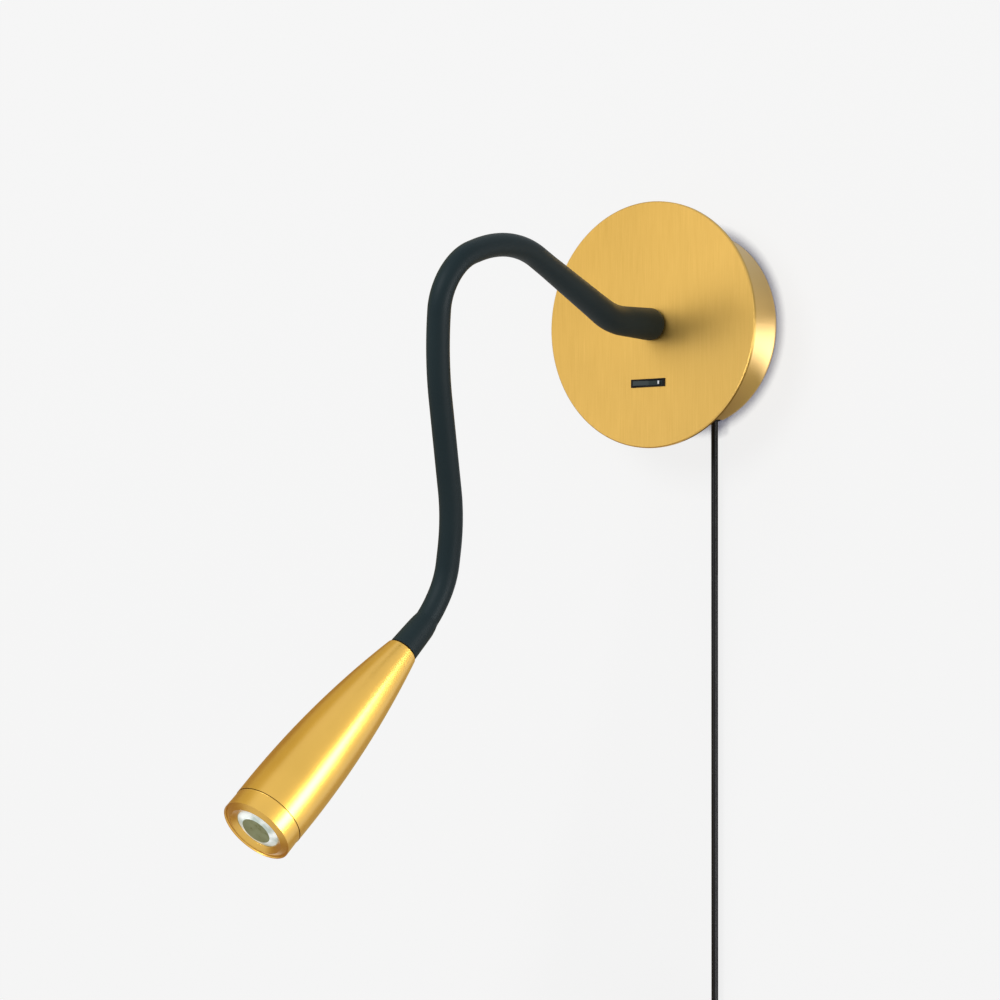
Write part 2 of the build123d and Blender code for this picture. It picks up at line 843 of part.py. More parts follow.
with BuildPart() as led_leads:
    for side in (-1, 1):
        with BuildSketch(head_plane(cable_head_reach)):
            with Locations((side * core_diameter / 2, 0)):
                RegularPolygon(core_diameter / 2, 4)
        extrude(amount=heat_sink_front - cable_head_reach)
save(led_leads.part, "led_leads")

# Grommet in the drum's notch, and the clamp block that stops the cord above it
with BuildPart() as cord_grommet:
    wall_z = (drum_radius**2 - cord_x**2) ** 0.5
    with BuildSketch(Plane.XY.offset(grommet_top_z)):
        with Locations((cord_x, -cord_reach)):
            stem(grommet_diameter)
    extrude(amount=-(wall_z + grommet_top_z + grommet_overrun))
    with BuildSketch(Plane.XY.offset(grommet_top_z)):
        with Locations((cord_x, -cord_reach)):
            stem(grommet_flange_diameter)
    extrude(amount=-grommet_flange_height)
    with BuildSketch(Plane.XY.offset(grommet_top_z)):
        with Locations((cord_x, -cord_reach)):
            stem_hole(cord_diameter, thread_clearance)
    extrude(amount=-drum_radius, mode=Mode.SUBTRACT)
save(cord_grommet.part, "cord_grommet")

stop_height = cord_top_z - grommet_top_z
stop_centre = cord_x + cord_stop_width / 2 - cord_radius - cord_stop_edge
stop_front = cord_stop_edge + cord_stop_depth
with BuildPart() as cord_stop:
    with BuildSketch(Plane.XY.offset(grommet_top_z)):
        with Locations((stop_centre, -cord_stop_edge - cord_stop_depth / 2)):
            Rectangle(cord_stop_width, cord_stop_depth)
        with Locations((cord_x, -cord_reach)):
            stem_hole(cord_diameter, thread_clearance, mode=Mode.SUBTRACT)
    extrude(amount=stop_height)
    with BuildSketch(out(0)):
        with Locations((cord_x + stop_screw_offset, grommet_top_z + stop_height / 2)):
            stem_hole(stop_screw_diameter, thread_clearance)
    extrude(amount=stop_front, mode=Mode.SUBTRACT)
save(cord_stop.part, "cord_stop")

with BuildPart() as cord_stop_screw:
    with BuildSketch(out(stop_front)):
        with Locations((cord_x + stop_screw_offset, grommet_top_z + stop_height / 2)):
            stem(stop_screw_head_diameter)
    extrude(amount=stop_screw_head_height)
    with BuildSketch(out(stop_front)):
        with Locations((cord_x + stop_screw_offset, grommet_top_z + stop_height / 2)):
            stem(stop_screw_diameter)
    extrude(amount=-cord_stop_depth)
save(cord_stop_screw.part, "cord_stop_screw")

# Cord: straight down the wall from the clamp block to the coil
coil_start = Vector(cord_x, -cord_reach, coil_centre_z)
with BuildPart() as cord_drop:
    round_tube(
        straight((cord_x, -cord_reach, cord_top_z), coil_start + Vector(0, 0, cord_diameter)),
        cord_diameter,
    )
save(cord_drop.part, "cord_drop")


# Coil: half circles that spiral in and out in four layers, climbing where the spiral reverses
def coil_steps():
    """Radius and climb of each half turn, from the outermost turn of the first layer."""
    inward = [coil_inner_radius + coil_pitch / 2 * (coil_half_turns - k) for k in range(coil_half_turns)]
    widest = coil_inner_radius + coil_pitch / 2 * (coil_half_turns + 1)
    steps = []
    for layer in range(4):
        radii = inward if layer % 2 == 0 else inward[::-1]
        steps += [(radius, 0) for radius in radii]
        turning = coil_inner_radius if layer % 2 == 0 else widest
        steps.append((turning, coil_pitch if layer < 3 else 0))
    return steps


# The cord's flats in the coil are set so that its section is as large as the round cord's
coil_across = cord_diameter * (2 * pi / coil_sides / sin(2 * pi / coil_sides)) ** 0.5
coil_section = RegularPolygon(coil_across / 2, coil_sides, rotation=180 / coil_sides)
coil_section = coil_section.moved(Location(coil_start))
coil_points = []
coil_joints = [coil_start]
coil_pieces = [extrude(coil_section, amount=cord_diameter, dir=(0, 0, 1))]
coil_length = 2 * cord_diameter
for number, (radius, climb) in enumerate(coil_steps()):
    side = -1 if number % 2 == 0 else 1
    here = coil_joints[-1]
    there = here + Vector(2 * side * radius, -climb, 0)
    middle = (here + there) / 2
    bulge = Vector(0, 0, side * (there - here).length / 2)
    arc = Edge.make_three_point_arc(here, middle + bulge, there)
    coil_pieces.append(sweep(coil_section, path=arc))
    coil_section = coil_section.rotate(Axis(middle, (there - here).cross(bulge)), 180)
    coil_points += [arc.position_at(step / 16) for step in range(16)]
    coil_joints.append(there)
    coil_length += arc.length
coil_pieces.append(extrude(coil_section, amount=cord_diameter, dir=(0, 0, -1)))
coil_end = coil_joints[-1]
# The half turns meet end to end, so the skin without those ends closes into one tube
coil_skin = [
    face
    for piece in coil_pieces
    for face in piece.faces()
    if min((face.center() - joint).length for joint in coil_joints) > thread_clearance
]
cord_coil = Solid(Shell(coil_skin))
save(cord_coil, "cord_coil")

# Tie round the bundle of turns, at the side away from the cord's drop
turn_x = [point.X for point in coil_points if point.X < coil_start.X - 2 * coil_inner_radius]
turn_y = [point.Y for point in coil_points]
tie_grow = cord_radius + tie_clearance
tie_inner_x = min(turn_x) + coil_pitch / 2 * (2 * coil_half_turns - 1)
tie_x = (min(turn_x) - tie_grow, tie_inner_x)
tie_y = (min(turn_y) - tie_grow, max(turn_y) + tie_grow)
with BuildPart() as cord_tie:
    with BuildSketch(Plane.XY.offset(coil_centre_z - tie_width / 2)):
        with Locations(((tie_x[0] + tie_x[1]) / 2, (tie_y[0] + tie_y[1]) / 2)):
            Rectangle(
                tie_x[1] - tie_x[0] + 2 * tie_thickness,
                tie_y[1] - tie_y[0] + 2 * tie_thickness,
            )
            Rectangle(tie_x[1] - tie_x[0], tie_y[1] - tie_y[0], mode=Mode.SUBTRACT)
    extrude(amount=tie_width)
save(cord_tie.part, "cord_tie")

# Short tail, grooved strain relief, moulded plug and its two round pins
tail_top = coil_end - Vector(0, 0, cord_diameter)
tail_bottom = tail_top - Vector(0, 0, tail_length)
with BuildPart() as cord_tail:
    round_tube(straight(tail_top, tail_bottom), cord_diameter)
save(cord_tail.part, "cord_tail")

relief_taper = degrees(atan2((relief_diameter - relief_tip_diameter) / 2, relief_length))
with BuildPart() as plug_relief:
    with BuildSketch(Plane(tail_bottom, x_dir=(1, 0, 0), z_dir=(0, 0, -1))):
        RegularPolygon(relief_tip_diameter / 2, bore_sides)
    extrude(amount=relief_length, taper=-relief_taper)
save(plug_relief.part, "plug_relief")

plug_top = tail_bottom - Vector(0, 0, relief_length)
plug_face = plug_top - Vector(0, 0, plug_length)


def plug_outline(plane, shoulder, width):
    """The plug's outline from one side, narrowing at the shoulder to the neck."""
    shoulder_drop = plug_length - plug_shoulder_height
    with BuildSketch(plane) as outline:
        with BuildLine():
            Polyline(
                (-plug_neck_width / 2, 0),
                (plug_neck_width / 2, 0),
                (shoulder / 2, -shoulder_drop),
                (width / 2, -plug_length),
                (-width / 2, -plug_length),
                (-shoulder / 2, -shoulder_drop),
                close=True,
            )
        make_face()
    return outline.sketch


plug_front = Plane(plug_top, x_dir=(1, 0, 0), z_dir=(0, -1, 0))
plug_side = Plane(plug_top, x_dir=(0, 1, 0), z_dir=(1, 0, 0))
with BuildPart() as plug_body:
    front_view = plug_outline(plug_front, plug_shoulder_width, plug_width)
    extrude(front_view, amount=plug_thickness / 2, both=True)
    side_view = plug_outline(plug_side, plug_thickness, plug_thickness)
    extrude(side_view, amount=plug_width / 2, both=True, mode=Mode.INTERSECT)
    with BuildSketch(Plane(plug_face, x_dir=(1, 0, 0), z_dir=(0, 0, 1))):
        blank = Rectangle(plug_width, plug_thickness)
        chamfer(blank.vertices(), plug_corner)
    extrude(amount=plug_length, mode=Mode.INTERSECT)
save(plug_body.part, "plug_body")

with BuildPart() as plug_pins:
    with BuildSketch(Plane(plug_face, x_dir=(1, 0, 0), z_dir=(0, 0, 1))):
        with GridLocations(pin_spacing, 0, 2, 1):
            Circle(pin_diameter / 2)
    extrude(amount=-pin_length)
    chamfer(plug_pins.edges().group_by(Axis.Z)[0], pin_tip_break)
save(plug_pins.part, "plug_pins")


# Facts for the record: joint places and axes, cord lengths, bend radii and the coil's own gap
def show(vector):
    return [round(value, 4) for value in vector]


print("arm length", round(arm_length, 2))
print("arm plane normal", show(arm_plane.z_dir))
for station in joint_stations:
    print("joint", station, show(arm_point(station)), show(arm_tangent(station)))
print("head origin", show(head_origin), "direction", show(head_direction))
print("rocker pivot", switch_x, -rocker_pivot, switch_z)
drop_length = cord_top_z - coil_start.Z - cord_diameter
print("cord length", round(drop_length + coil_length + tail_length, 1), "coil", round(coil_length, 1))
print("coil turns", len(coil_steps()) / 2, "tightest radius", round(coil_inner_radius, 2))
coil_area = coil_sides / 2 * (coil_across / 2) ** 2 * sin(2 * pi / coil_sides)
print("coil volume", round(cord_coil.volume, 1), "section x length", round(coil_area * coil_length, 1))
near = [
    (first - second).length
    for place, first in enumerate(coil_points)
    for second in coil_points[place + 16 :]
]
coil_flats = coil_across * cos(pi / coil_sides)
print("least gap of the coil to itself", round(min(near) - max(coil_flats, cord_diameter), 3))
print("plug face z", round(plug_face.Z, 2), "coil end", show(coil_end))
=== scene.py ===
from math import acos, cos, pi, radians, sin, tan

import bmesh
import bpy
from mathutils import Matrix, Vector


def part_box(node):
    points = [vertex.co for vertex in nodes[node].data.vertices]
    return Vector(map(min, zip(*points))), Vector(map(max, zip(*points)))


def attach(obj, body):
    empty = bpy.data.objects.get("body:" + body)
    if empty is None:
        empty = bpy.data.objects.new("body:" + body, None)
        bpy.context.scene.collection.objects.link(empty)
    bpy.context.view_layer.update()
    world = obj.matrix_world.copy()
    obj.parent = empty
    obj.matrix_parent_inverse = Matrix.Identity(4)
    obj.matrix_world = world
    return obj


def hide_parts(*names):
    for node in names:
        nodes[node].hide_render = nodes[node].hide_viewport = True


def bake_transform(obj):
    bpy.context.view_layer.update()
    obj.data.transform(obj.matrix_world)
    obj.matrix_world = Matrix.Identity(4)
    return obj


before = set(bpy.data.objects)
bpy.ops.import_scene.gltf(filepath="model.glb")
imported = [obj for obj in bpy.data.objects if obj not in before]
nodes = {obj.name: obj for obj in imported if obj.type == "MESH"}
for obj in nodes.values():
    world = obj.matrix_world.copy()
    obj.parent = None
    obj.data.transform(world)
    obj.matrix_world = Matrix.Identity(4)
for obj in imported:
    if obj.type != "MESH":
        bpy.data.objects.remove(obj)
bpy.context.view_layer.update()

# Sizes are in metres, and in millimetres where MM is applied later. The wall is the plane y = 0 and
# the lamp stands out of it towards -Y.
MM = 0.001
UP = Vector((0, 0, 1))
DOWN = Vector((0, 0, -1))

# Camera: measured on the photograph from the face plate's ellipse and the upright cord
PIXELS_PER_METRE = 2471.0
PICTURE_SIZE = 1000
ORIGIN_PIXEL = (696.1, 331.1)
CAMERA_RIGHT = Vector((0.8202, 0.5721, 0.0))
CAMERA_UP = Vector((0.0453, -0.0649, 0.99686))
CAMERA_BACK = Vector((0.5703, -0.8176, -0.0792))
CAMERA_DISTANCE = 18.0
CAMERA_FAR = 100.0
SENSOR = 36.0

# Base
PLATE_FRONT = 31.0 * MM

# Arm: corners in its leaning plane, as (distance out of the plate, rise), and their radii
ARM_LEAN = radians(17.4)
ARM_POINTS = [
    (0.0, 0.0),
    (28.5, 0.0),
    (112.0, 29.0),
    (154.5, 14.0),
    (142.0, -24.0),
    (103.0, -88.5),
    (97.0, -114.0),
    (102.0, -129.5),
    (114.5, -144.0),
]
ARM_RADII = [50.0, 64.0, 20.0, 170.0, 84.0, 28.0, 35.0]
JOINT_STATIONS = [21.0, 54.0, 87.0, 122.0, 157.0, 188.0, 219.0, 252.0, 285.0, 317.0]
STATION_TOLERANCE = 1e-6

# Sleeve and cable of the arm; a boot is pairs of (distance from the sleeve's end, radius)
SLEEVE_RADIUS = 4.8
BASE_BOOT = [(0, 5.9), (0.6, 6.3), (2, 6.6), (18, 6.1), (45, 5.45), (85, SLEEVE_RADIUS)]
HEAD_BOOT = [(0, 6.2), (8, 5.85), (13, 5.6), (15.5, 5.3), (18, SLEEVE_RADIUS)]
CABLE_RADIUS = 1.0

# Head, along its axis from the neck, in millimetres
HEAD_RADIUS = 15.65
HEAD_LENGTH = 105.4
SHELL_LENGTH = 96.4
BEZEL_BACK = 96.7
SPIGOT_BACK = 92.7
SPIGOT_RADIUS = 13.35
SEAM_RADIUS = 15.4
SEAM_BACK = 96.45
OGIVE_END = 90.0
OGIVE_STEPS = 40
NECK_RADIUS = 6.7
NECK_BREAK = 0.9
THREAD_RADIUS = 4.05
THREAD_END = 10.0
CAVITY_RADIUS = 13.4
CAVITY_BACK = 71.4
DISH_RADIUS = 12.2
OPENING_RADIUS = 9.9
OPENING_FRONT = 103.9
LENS_SEAT = 102.3
LENS_POCKET_RADIUS = 11.5
LENS_RADIUS = 9.7
LENS_SHOULDER = 103.7
LENS_FACE = 104.9
LENS_FACE_RADIUS = 6.5
LENS_FACE_DEPTH = 0.02
LENS_FLANGE_RADIUS = 11.3
LENS_BACK = 101.1
LENS_FOOT = 93.1
LENS_FOOT_RADIUS = 3.5

# Switch, in millimetres
ROCKER_PIVOT = Vector((-2.0, -30.4, -23.6))
ROCKER_TILT = radians(5.5)
ROCKER_WAIST = 0.5
MARK_CENTRE = 5.7
MARK_SIZE = (0.9, 1.3)
MARK_LEVELS = (-0.05, 0.04)

# Cord: straight down the wall into a coil of four layers
CORD_DIAMETER = 2.8 * MM
CORD_X = 11.2 * MM
CORD_Y = -3.0 * MM
CORD_TOP = -28.0 * MM
COIL_CENTRE = -300.0 * MM
COIL_INNER = 11.6 * MM
COIL_PITCH = 3.3 * MM
COIL_LAYERS = 4
COIL_HALF_TURNS = 5
COIL_POINTS_A_HALF_TURN = 8
CORD_TAIL = 18.8 * MM

# Leads in the base, in millimetres
LEAD_RADIUS = 0.5
LEAD_SHIFTS = (-0.5, 0.5)
LEAD_ENTRY = Vector((11.2, -3.0, -28.0))
BLOCK_WAYS = (-21.0, -13.0)
BLOCK_Y = -22.5
BLOCK_BOTTOM = -20.5
BLOCK_TOP = -5.5
DRIVER_BOTTOM = 10.0
BLADE_PLACES = (-6.5, 2.5)
BLADE_END = -14.0
SWITCH_LEAD_Y = -13.0
ARM_CABLE_END = -20.5

# Grommet, in millimetres; its flange and neck are pairs of (radius, distance of its end)
GROMMET_TOP = -33.7
GROMMET_BORE = 1.45
GROMMET_MIDDLE = 2.4
GROMMET_FLANGE = (2.8, 2.0)
GROMMET_NECK = (2.4, 4.3)

# Tie
TIE_THICKNESS = 0.8 * MM
TIE_CORNER = 3.0 * MM
TIE_CORNER_POINTS = 9

# Plug and its strain relief, in millimetres
PLUG_PLACE = Vector((11.2, -12.9, 0.0))
RELIEF_TOP = -312.8
RELIEF_LENGTH = 24.0
RELIEF_RADII = (2.1, 3.5)
RELIEF_EDGE = 0.3
RELIEF_STEPS = 96
RELIEF_GROOVE = 0.22
RELIEF_RIBS = (1.5, 22.5)
RIB_PITCH = 3.0
PLUG_TOP = -336.8
PLUG_LENGTH = 34.0
PLUG_SHOULDER = 13.0
PLUG_HALF_WIDTHS = (4.5, 12.0, 17.5)
PLUG_HALF_DEPTHS = (4.5, 6.8)
PLUG_EDGE = 0.8
PLUG_GROOVE = 0.25
PLUG_GRIP = (15, 27)
PLUG_POWER = 4


# Node helpers for materials
BUMP_STRENGTH = 0.5
LACQUER_IOR = 1.7
LENS_IOR = 1.49


def new_material(name):
    material = bpy.data.materials.new(name)
    material.use_nodes = True
    tree = material.node_tree
    return material, tree, tree.nodes["Principled BSDF"]


def coordinates(tree, scale=(1, 1, 1)):
    place = tree.nodes.new("ShaderNodeTexCoord")
    mapping = tree.nodes.new("ShaderNodeMapping")
    mapping.inputs["Scale"].default_value = scale
    tree.links.new(place.outputs["Object"], mapping.inputs["Vector"])
    return mapping.outputs["Vector"]


def noise(tree, vector, scale, detail=3.0, roughness=0.5):
    node = tree.nodes.new("ShaderNodeTexNoise")
    node.inputs["Scale"].default_value = scale
    node.inputs["Detail"].default_value = detail
    node.inputs["Roughness"].default_value = roughness
    tree.links.new(vector, node.inputs["Vector"])
    return node.outputs["Fac"]


def spread(tree, value, low, high, from_low=0.3, from_high=0.7):
    node = tree.nodes.new("ShaderNodeMapRange")
    node.inputs["From Min"].default_value = from_low
    node.inputs["From Max"].default_value = from_high
    node.inputs["To Min"].default_value = low
    node.inputs["To Max"].default_value = high
    tree.links.new(value, node.inputs["Value"])
    return node.outputs["Result"]


def mix_colours(tree, factor, first, second):
    node = tree.nodes.new("ShaderNodeMix")
    node.data_type = "RGBA"
    node.inputs["A"].default_value = (*first, 1)
    node.inputs["B"].default_value = (*second, 1)
    tree.links.new(factor, node.inputs["Factor"])
    return node.outputs["Result"]


def bump(tree, shader, height, distance):
    node = tree.nodes.new("ShaderNodeBump")
    node.inputs["Distance"].default_value = distance
    node.inputs["Strength"].default_value = BUMP_STRENGTH
    tree.links.new(height, node.inputs["Height"])
    tree.links.new(node.outputs["Normal"], shader.inputs["Normal"])


def brushed_metal(name, dark, light, roughness, streaks, depth):
    """Metal with fine straight streaks: the streak scale is small along the brushing."""
    material, tree, shader = new_material(name)
    grain = noise(tree, coordinates(tree, streaks), 1.0, detail=6.0, roughness=0.7)
    cloud = noise(tree, coordinates(tree), 25.0, detail=2.0)
    tree.links.new(mix_colours(tree, spread(tree, grain, 0, 1), dark, light), shader.inputs["Base Color"])
    shader.inputs["Metallic"].default_value = 1.0
    level = tree.nodes.new("ShaderNodeMath")
    level.operation = "ADD"
    tree.links.new(spread(tree, grain, -0.04, 0.04), level.inputs[0])
    tree.links.new(spread(tree, cloud, roughness - 0.02, roughness + 0.02), level.inputs[1])
    tree.links.new(level.outputs[0], shader.inputs["Roughness"])
    bump(tree, shader, grain, depth)
    return material


def satin(name, dark, light, metallic, roughness, grain_scale, depth, specular=0.5, coat=0.0):
    """A satin surface with a fine even grain and slightly uneven gloss; coat is clear lacquer."""
    material, tree, shader = new_material(name)
    vector = coordinates(tree)
    grain = noise(tree, vector, grain_scale, detail=4.0, roughness=0.6)
    cloud = noise(tree, vector, 40.0, detail=2.0)
    tree.links.new(mix_colours(tree, spread(tree, cloud, 0, 1), dark, light), shader.inputs["Base Color"])
    shader.inputs["Metallic"].default_value = metallic
    shader.inputs["Specular IOR Level"].default_value = specular
    shader.inputs["Coat Weight"].default_value = coat
    shader.inputs["Coat Roughness"].default_value = roughness * 0.8
    shader.inputs["Coat IOR"].default_value = LACQUER_IOR
    tree.links.new(spread(tree, cloud, roughness - 0.03, roughness + 0.03), shader.inputs["Roughness"])
    bump(tree, shader, grain, depth)
    return material


def moulded_lens(name, dark, light, roughness, transmission, streaks, painted_glow):
    """Moulded clear plastic with streaks; gleam sets a painted glow in its own streaky colour, which
    brightens it though the lamp is not lit.
    """
    material, tree, shader = new_material(name)
    haze = noise(tree, coordinates(tree), streaks, detail=2.0)
    colour = mix_colours(tree, spread(tree, haze, 0, 1, 0.38, 0.62), dark, light)
    tree.links.new(colour, shader.inputs["Base Color"])
    tree.links.new(colour, shader.inputs["Emission Color"])
    tree.links.new(spread(tree, haze, roughness - 0.04, roughness + 0.04), shader.inputs["Roughness"])
    shader.inputs["Transmission Weight"].default_value = transmission
    shader.inputs["IOR"].default_value = LENS_IOR
    # Painted light: the lens glows in its own colour, though no lamp is lit in it.
    shader.inputs["Emission Strength"].default_value = painted_glow
    return material


plate_brass = brushed_metal(
    "plate_brass", (0.58, 0.362, 0.089), (0.66, 0.422, 0.117), 0.36, (5200, 5200, 60), 0.000012
)
drum_brass = satin(
    "drum_brass", (0.66, 0.42, 0.100), (0.70, 0.45, 0.115), 1.0, 0.50, 4000, 0.000004, coat=1.0
)
head_gold = satin(
    "head_gold", (0.74, 0.43, 0.036), (0.775, 0.455, 0.047), 1.0, 0.34, 4500, 0.000003, coat=1.0
)
sleeve_black = satin(
    "sleeve_black", (0.0122, 0.0235, 0.0280), (0.0150, 0.0275, 0.0320), 0.0, 0.52, 2500, 0.00002, 0.10
)
cord_black = satin(
    "cord_black", (0.004, 0.004, 0.005), (0.007, 0.007, 0.008), 0.0, 0.36, 3000, 0.00001, 0.15
)
black_plastic = satin(
    "black_plastic", (0.004, 0.004, 0.005), (0.007, 0.007, 0.008), 0.0, 0.5, 3500, 0.00001, 0.12
)
plug_plastic = satin(
    "plug_plastic", (0.012, 0.012, 0.012), (0.018, 0.018, 0.018), 0.0, 0.42, 2200, 0.00002
)
cable_plastic = satin("cable_plastic", (0.09, 0.09, 0.095), (0.12, 0.12, 0.125), 0.0, 0.45, 2500, 0.00001)
rocker_plastic = satin(
    "rocker_plastic", (0.014, 0.026, 0.028), (0.020, 0.034, 0.036), 0.0, 0.4, 3500, 0.00001, 0.2
)
mark_paint = satin("mark_paint", (0.72, 0.74, 0.78), (0.78, 0.80, 0.84), 0.0, 0.4, 3500, 0.000005)
steel = satin("steel", (0.50, 0.50, 0.51), (0.60, 0.60, 0.61), 1.0, 0.35, 2500, 0.00001)
zinc = satin("zinc", (0.56, 0.57, 0.58), (0.66, 0.66, 0.66), 1.0, 0.30, 900, 0.00001)
nickel = satin("nickel", (0.62, 0.60, 0.56), (0.68, 0.66, 0.62), 1.0, 0.22, 3000, 0.000004)
blade_brass = satin("blade_brass", (0.66, 0.47, 0.16), (0.72, 0.52, 0.20), 1.0, 0.3, 3000, 0.000006)
white_plastic = satin("white_plastic", (0.74, 0.74, 0.73), (0.80, 0.80, 0.79), 0.0, 0.45, 2500, 0.00001)
pad_foam = satin("pad_foam", (0.70, 0.70, 0.67), (0.80, 0.80, 0.77), 0.0, 0.8, 1200, 0.00006)
lead_brown = satin("lead_brown", (0.11, 0.045, 0.018), (0.15, 0.06, 0.025), 0.0, 0.4, 2500, 0.00001)
lead_blue = satin("lead_blue", (0.02, 0.07, 0.26), (0.03, 0.09, 0.32), 0.0, 0.4, 2500, 0.00001)
lead_red = satin("lead_red", (0.34, 0.02, 0.02), (0.42, 0.03, 0.03), 0.0, 0.4, 2500, 0.00001)
lead_black = satin("lead_black", (0.012, 0.012, 0.012), (0.02, 0.02, 0.02), 0.0, 0.4, 2500, 0.00001)
chip_yellow = satin("chip_yellow", (0.78, 0.60, 0.10), (0.84, 0.66, 0.14), 0.0, 0.3, 2500, 0.00001)
board_white = satin("board_white", (0.72, 0.73, 0.74), (0.80, 0.80, 0.81), 0.0, 0.35, 2500, 0.00001)
# The clear lens gets a painted glow of 0.38, its last value; the lens face gets none.
lens_clear = moulded_lens("lens_clear", (0.48, 0.56, 0.52), (0.92, 0.98, 0.97), 0.10, 0.0, 170.0, 0.38)
lens_frost = moulded_lens(
    "lens_frost", (0.245, 0.270, 0.130), (0.315, 0.345, 0.185), 0.30, 0.05, 260.0, 0.0
)


def paint(piece, *materials):
    piece.data.materials.clear()
    for material in materials:
        piece.data.materials.append(material)


def dress(piece, body, node):
    """Hangs a new piece on its body, in place of the node that it stands for."""
    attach(piece, body)
    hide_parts(node)


def soften(piece, width):
    """Rounds the sharp edges of a piece a little."""
    edge = piece.modifiers.new("soften", "BEVEL")
    edge.width = width * MM
    edge.segments = 2
    edge.limit_method = "ANGLE"
    edge.angle_limit = radians(30)


# Mesh helpers
MERGE = 1e-6
CORNERS = ((-1, -1), (1, -1), (1, 1), (-1, 1))


def mesh_object(name, points, faces, crease=radians(40)):
    """A mesh with its double points merged, its faces turned outwards and its sharp edges marked."""
    mesh = bpy.data.meshes.new(name)
    mesh.from_pydata(points, [], faces)
    shape = bmesh.new()
    shape.from_mesh(mesh)
    bmesh.ops.remove_doubles(shape, verts=shape.verts, dist=MERGE)
    bmesh.ops.recalc_face_normals(shape, faces=shape.faces)
    shape.to_mesh(mesh)
    shape.free()
    mesh.shade_smooth()
    mesh.set_sharp_from_angle(angle=crease)
    piece = bpy.data.objects.new(name, mesh)
    bpy.context.scene.collection.objects.link(piece)
    return piece


def rounded(points, radii, steps=6):
    """An outline with its inner corners rounded to their radii; a radius of 0 keeps the corner."""
    result = [Vector(points[0])]
    for before, corner, after, radius in zip(points, points[1:], points[2:], radii):
        before, corner, after = Vector(before), Vector(corner), Vector(after)
        if radius == 0:
            result.append(corner)
            continue
        inward = (before - corner).normalized()
        outward = (after - corner).normalized()
        half = acos(max(-1, min(1, inward.dot(outward)))) / 2
        reach = radius / tan(half)
        centre = corner + (inward + outward).normalized() * (radius / sin(half))
        start = corner + inward * reach - centre
        swing = pi - 2 * half
        side = 1 if start.x * outward.y - start.y * outward.x > 0 else -1
        for step in range(steps + 1):
            angle = side * swing * step / steps
            turned = Vector(
                (start.x * cos(angle) - start.y * sin(angle), start.x * sin(angle) + start.y * cos(angle))
            )
            result.append(centre + turned)
    result.append(Vector(points[-1]))
    return result


def ring_faces(rings, sides, closed=False):
    """Quads between rings of points laid one after another; closed joins the last ring to the first."""
    faces = []
    for ring in range(rings if closed else rings - 1):
        first = ring * sides
        second = (ring + 1) % rings * sides
        for side in range(sides):
            after = (side + 1) % sides
            faces.append((first + side, first + after, second + after, second + side))
    return faces


def lathe(name, outline, origin, along, across, sides=128, closed=False, crease=radians(30)):
    """A turned body from millimetre points (radius, distance along the axis), a loop where closed."""
    other = along.cross(across)
    points = []
    for radius, distance in outline:
        for side in range(sides):
            angle = 2 * pi * side / sides
            ray = across * cos(angle) + other * sin(angle)
            points.append(origin + (along * distance + ray * radius) * MM)
    return mesh_object(name, points, ring_faces(len(outline), sides, closed), crease)


# The arm's centreline: straight runs and arcs in the leaning plane
def straight_samples(station, here, direction, run, count):
    """Evenly spaced samples along a straight run, without its end."""
    steps = [run * step / count for step in range(count)]
    return [(station + step, here + direction * step, direction) for step in steps]


def arm_samples(spacing=0.5):
    """Samples along the arm in its plane as (station, place, direction), in millimetres."""
    samples = []
    station = 0.0
    here = Vector(ARM_POINTS[0])
    for index, radius in enumerate(ARM_RADII):
        corner = Vector(ARM_POINTS[index + 1])
        arrive = (corner - Vector(ARM_POINTS[index])).normalized()
        leave = (Vector(ARM_POINTS[index + 2]) - corner).normalized()
        turn = acos(max(-1, min(1, arrive.dot(leave))))
        side = 1 if arrive.x * leave.y - arrive.y * leave.x > 0 else -1
        start = corner - arrive * radius * tan(turn / 2)
        run = (start - here).length
        count = max(1, round(run / spacing))
        samples += straight_samples(station, here, arrive, run, count)
        station += run
        normal = Vector((-arrive.y, arrive.x)) * side
        count = max(2, round(radius * turn / spacing))
        for step in range(count):
            angle = turn * step / count
            place = start + arrive * (radius * sin(angle)) + normal * (radius * (1 - cos(angle)))
            samples.append((station + radius * angle, place, arrive * cos(angle) + normal * sin(angle)))
        station += radius * turn
        here = corner + leave * radius * tan(turn / 2)
    tip = Vector(ARM_POINTS[-1])
    run = (tip - here).length
    direction = (tip - here).normalized()
    count = max(1, round(run / spacing))
    samples += straight_samples(station, here, direction, run, count)
    samples.append((station + run, tip, direction))
    return samples


ARM_RISE = Vector((sin(ARM_LEAN), 0, cos(ARM_LEAN)))
ARM_OUT = Vector((0, -1, 0))
ARM_NORMAL = ARM_OUT.cross(ARM_RISE)
ARM = arm_samples()
ARM_LENGTH = ARM[-1][0]


def arm_place(sample):
    return ARM_OUT * (PLATE_FRONT + sample.x * MM) + ARM_RISE * (sample.y * MM)


def arm_direction(sample):
    return ARM_OUT * sample.x + ARM_RISE * sample.y


def arm_at(station):
    """Place and direction of the sample nearest to a station."""
    closest = min(ARM, key=lambda sample: abs(sample[0] - station))
    return arm_place(closest[1]), arm_direction(closest[2])


def swell(profile, distance):
    """Radius at a distance from an end of the sleeve, between the pairs of its boot."""
    for (before, wide), (after, narrow) in zip(profile, profile[1:]):
        if distance <= after:
            return wide + (narrow - wide) * (distance - before) / (after - before)
    return SLEEVE_RADIUS


def sleeve_radius(station):
    """Radius of the sleeve, which swells into a boot at each end."""
    return max(swell(BASE_BOOT, station), swell(HEAD_BOOT, ARM_LENGTH - station))


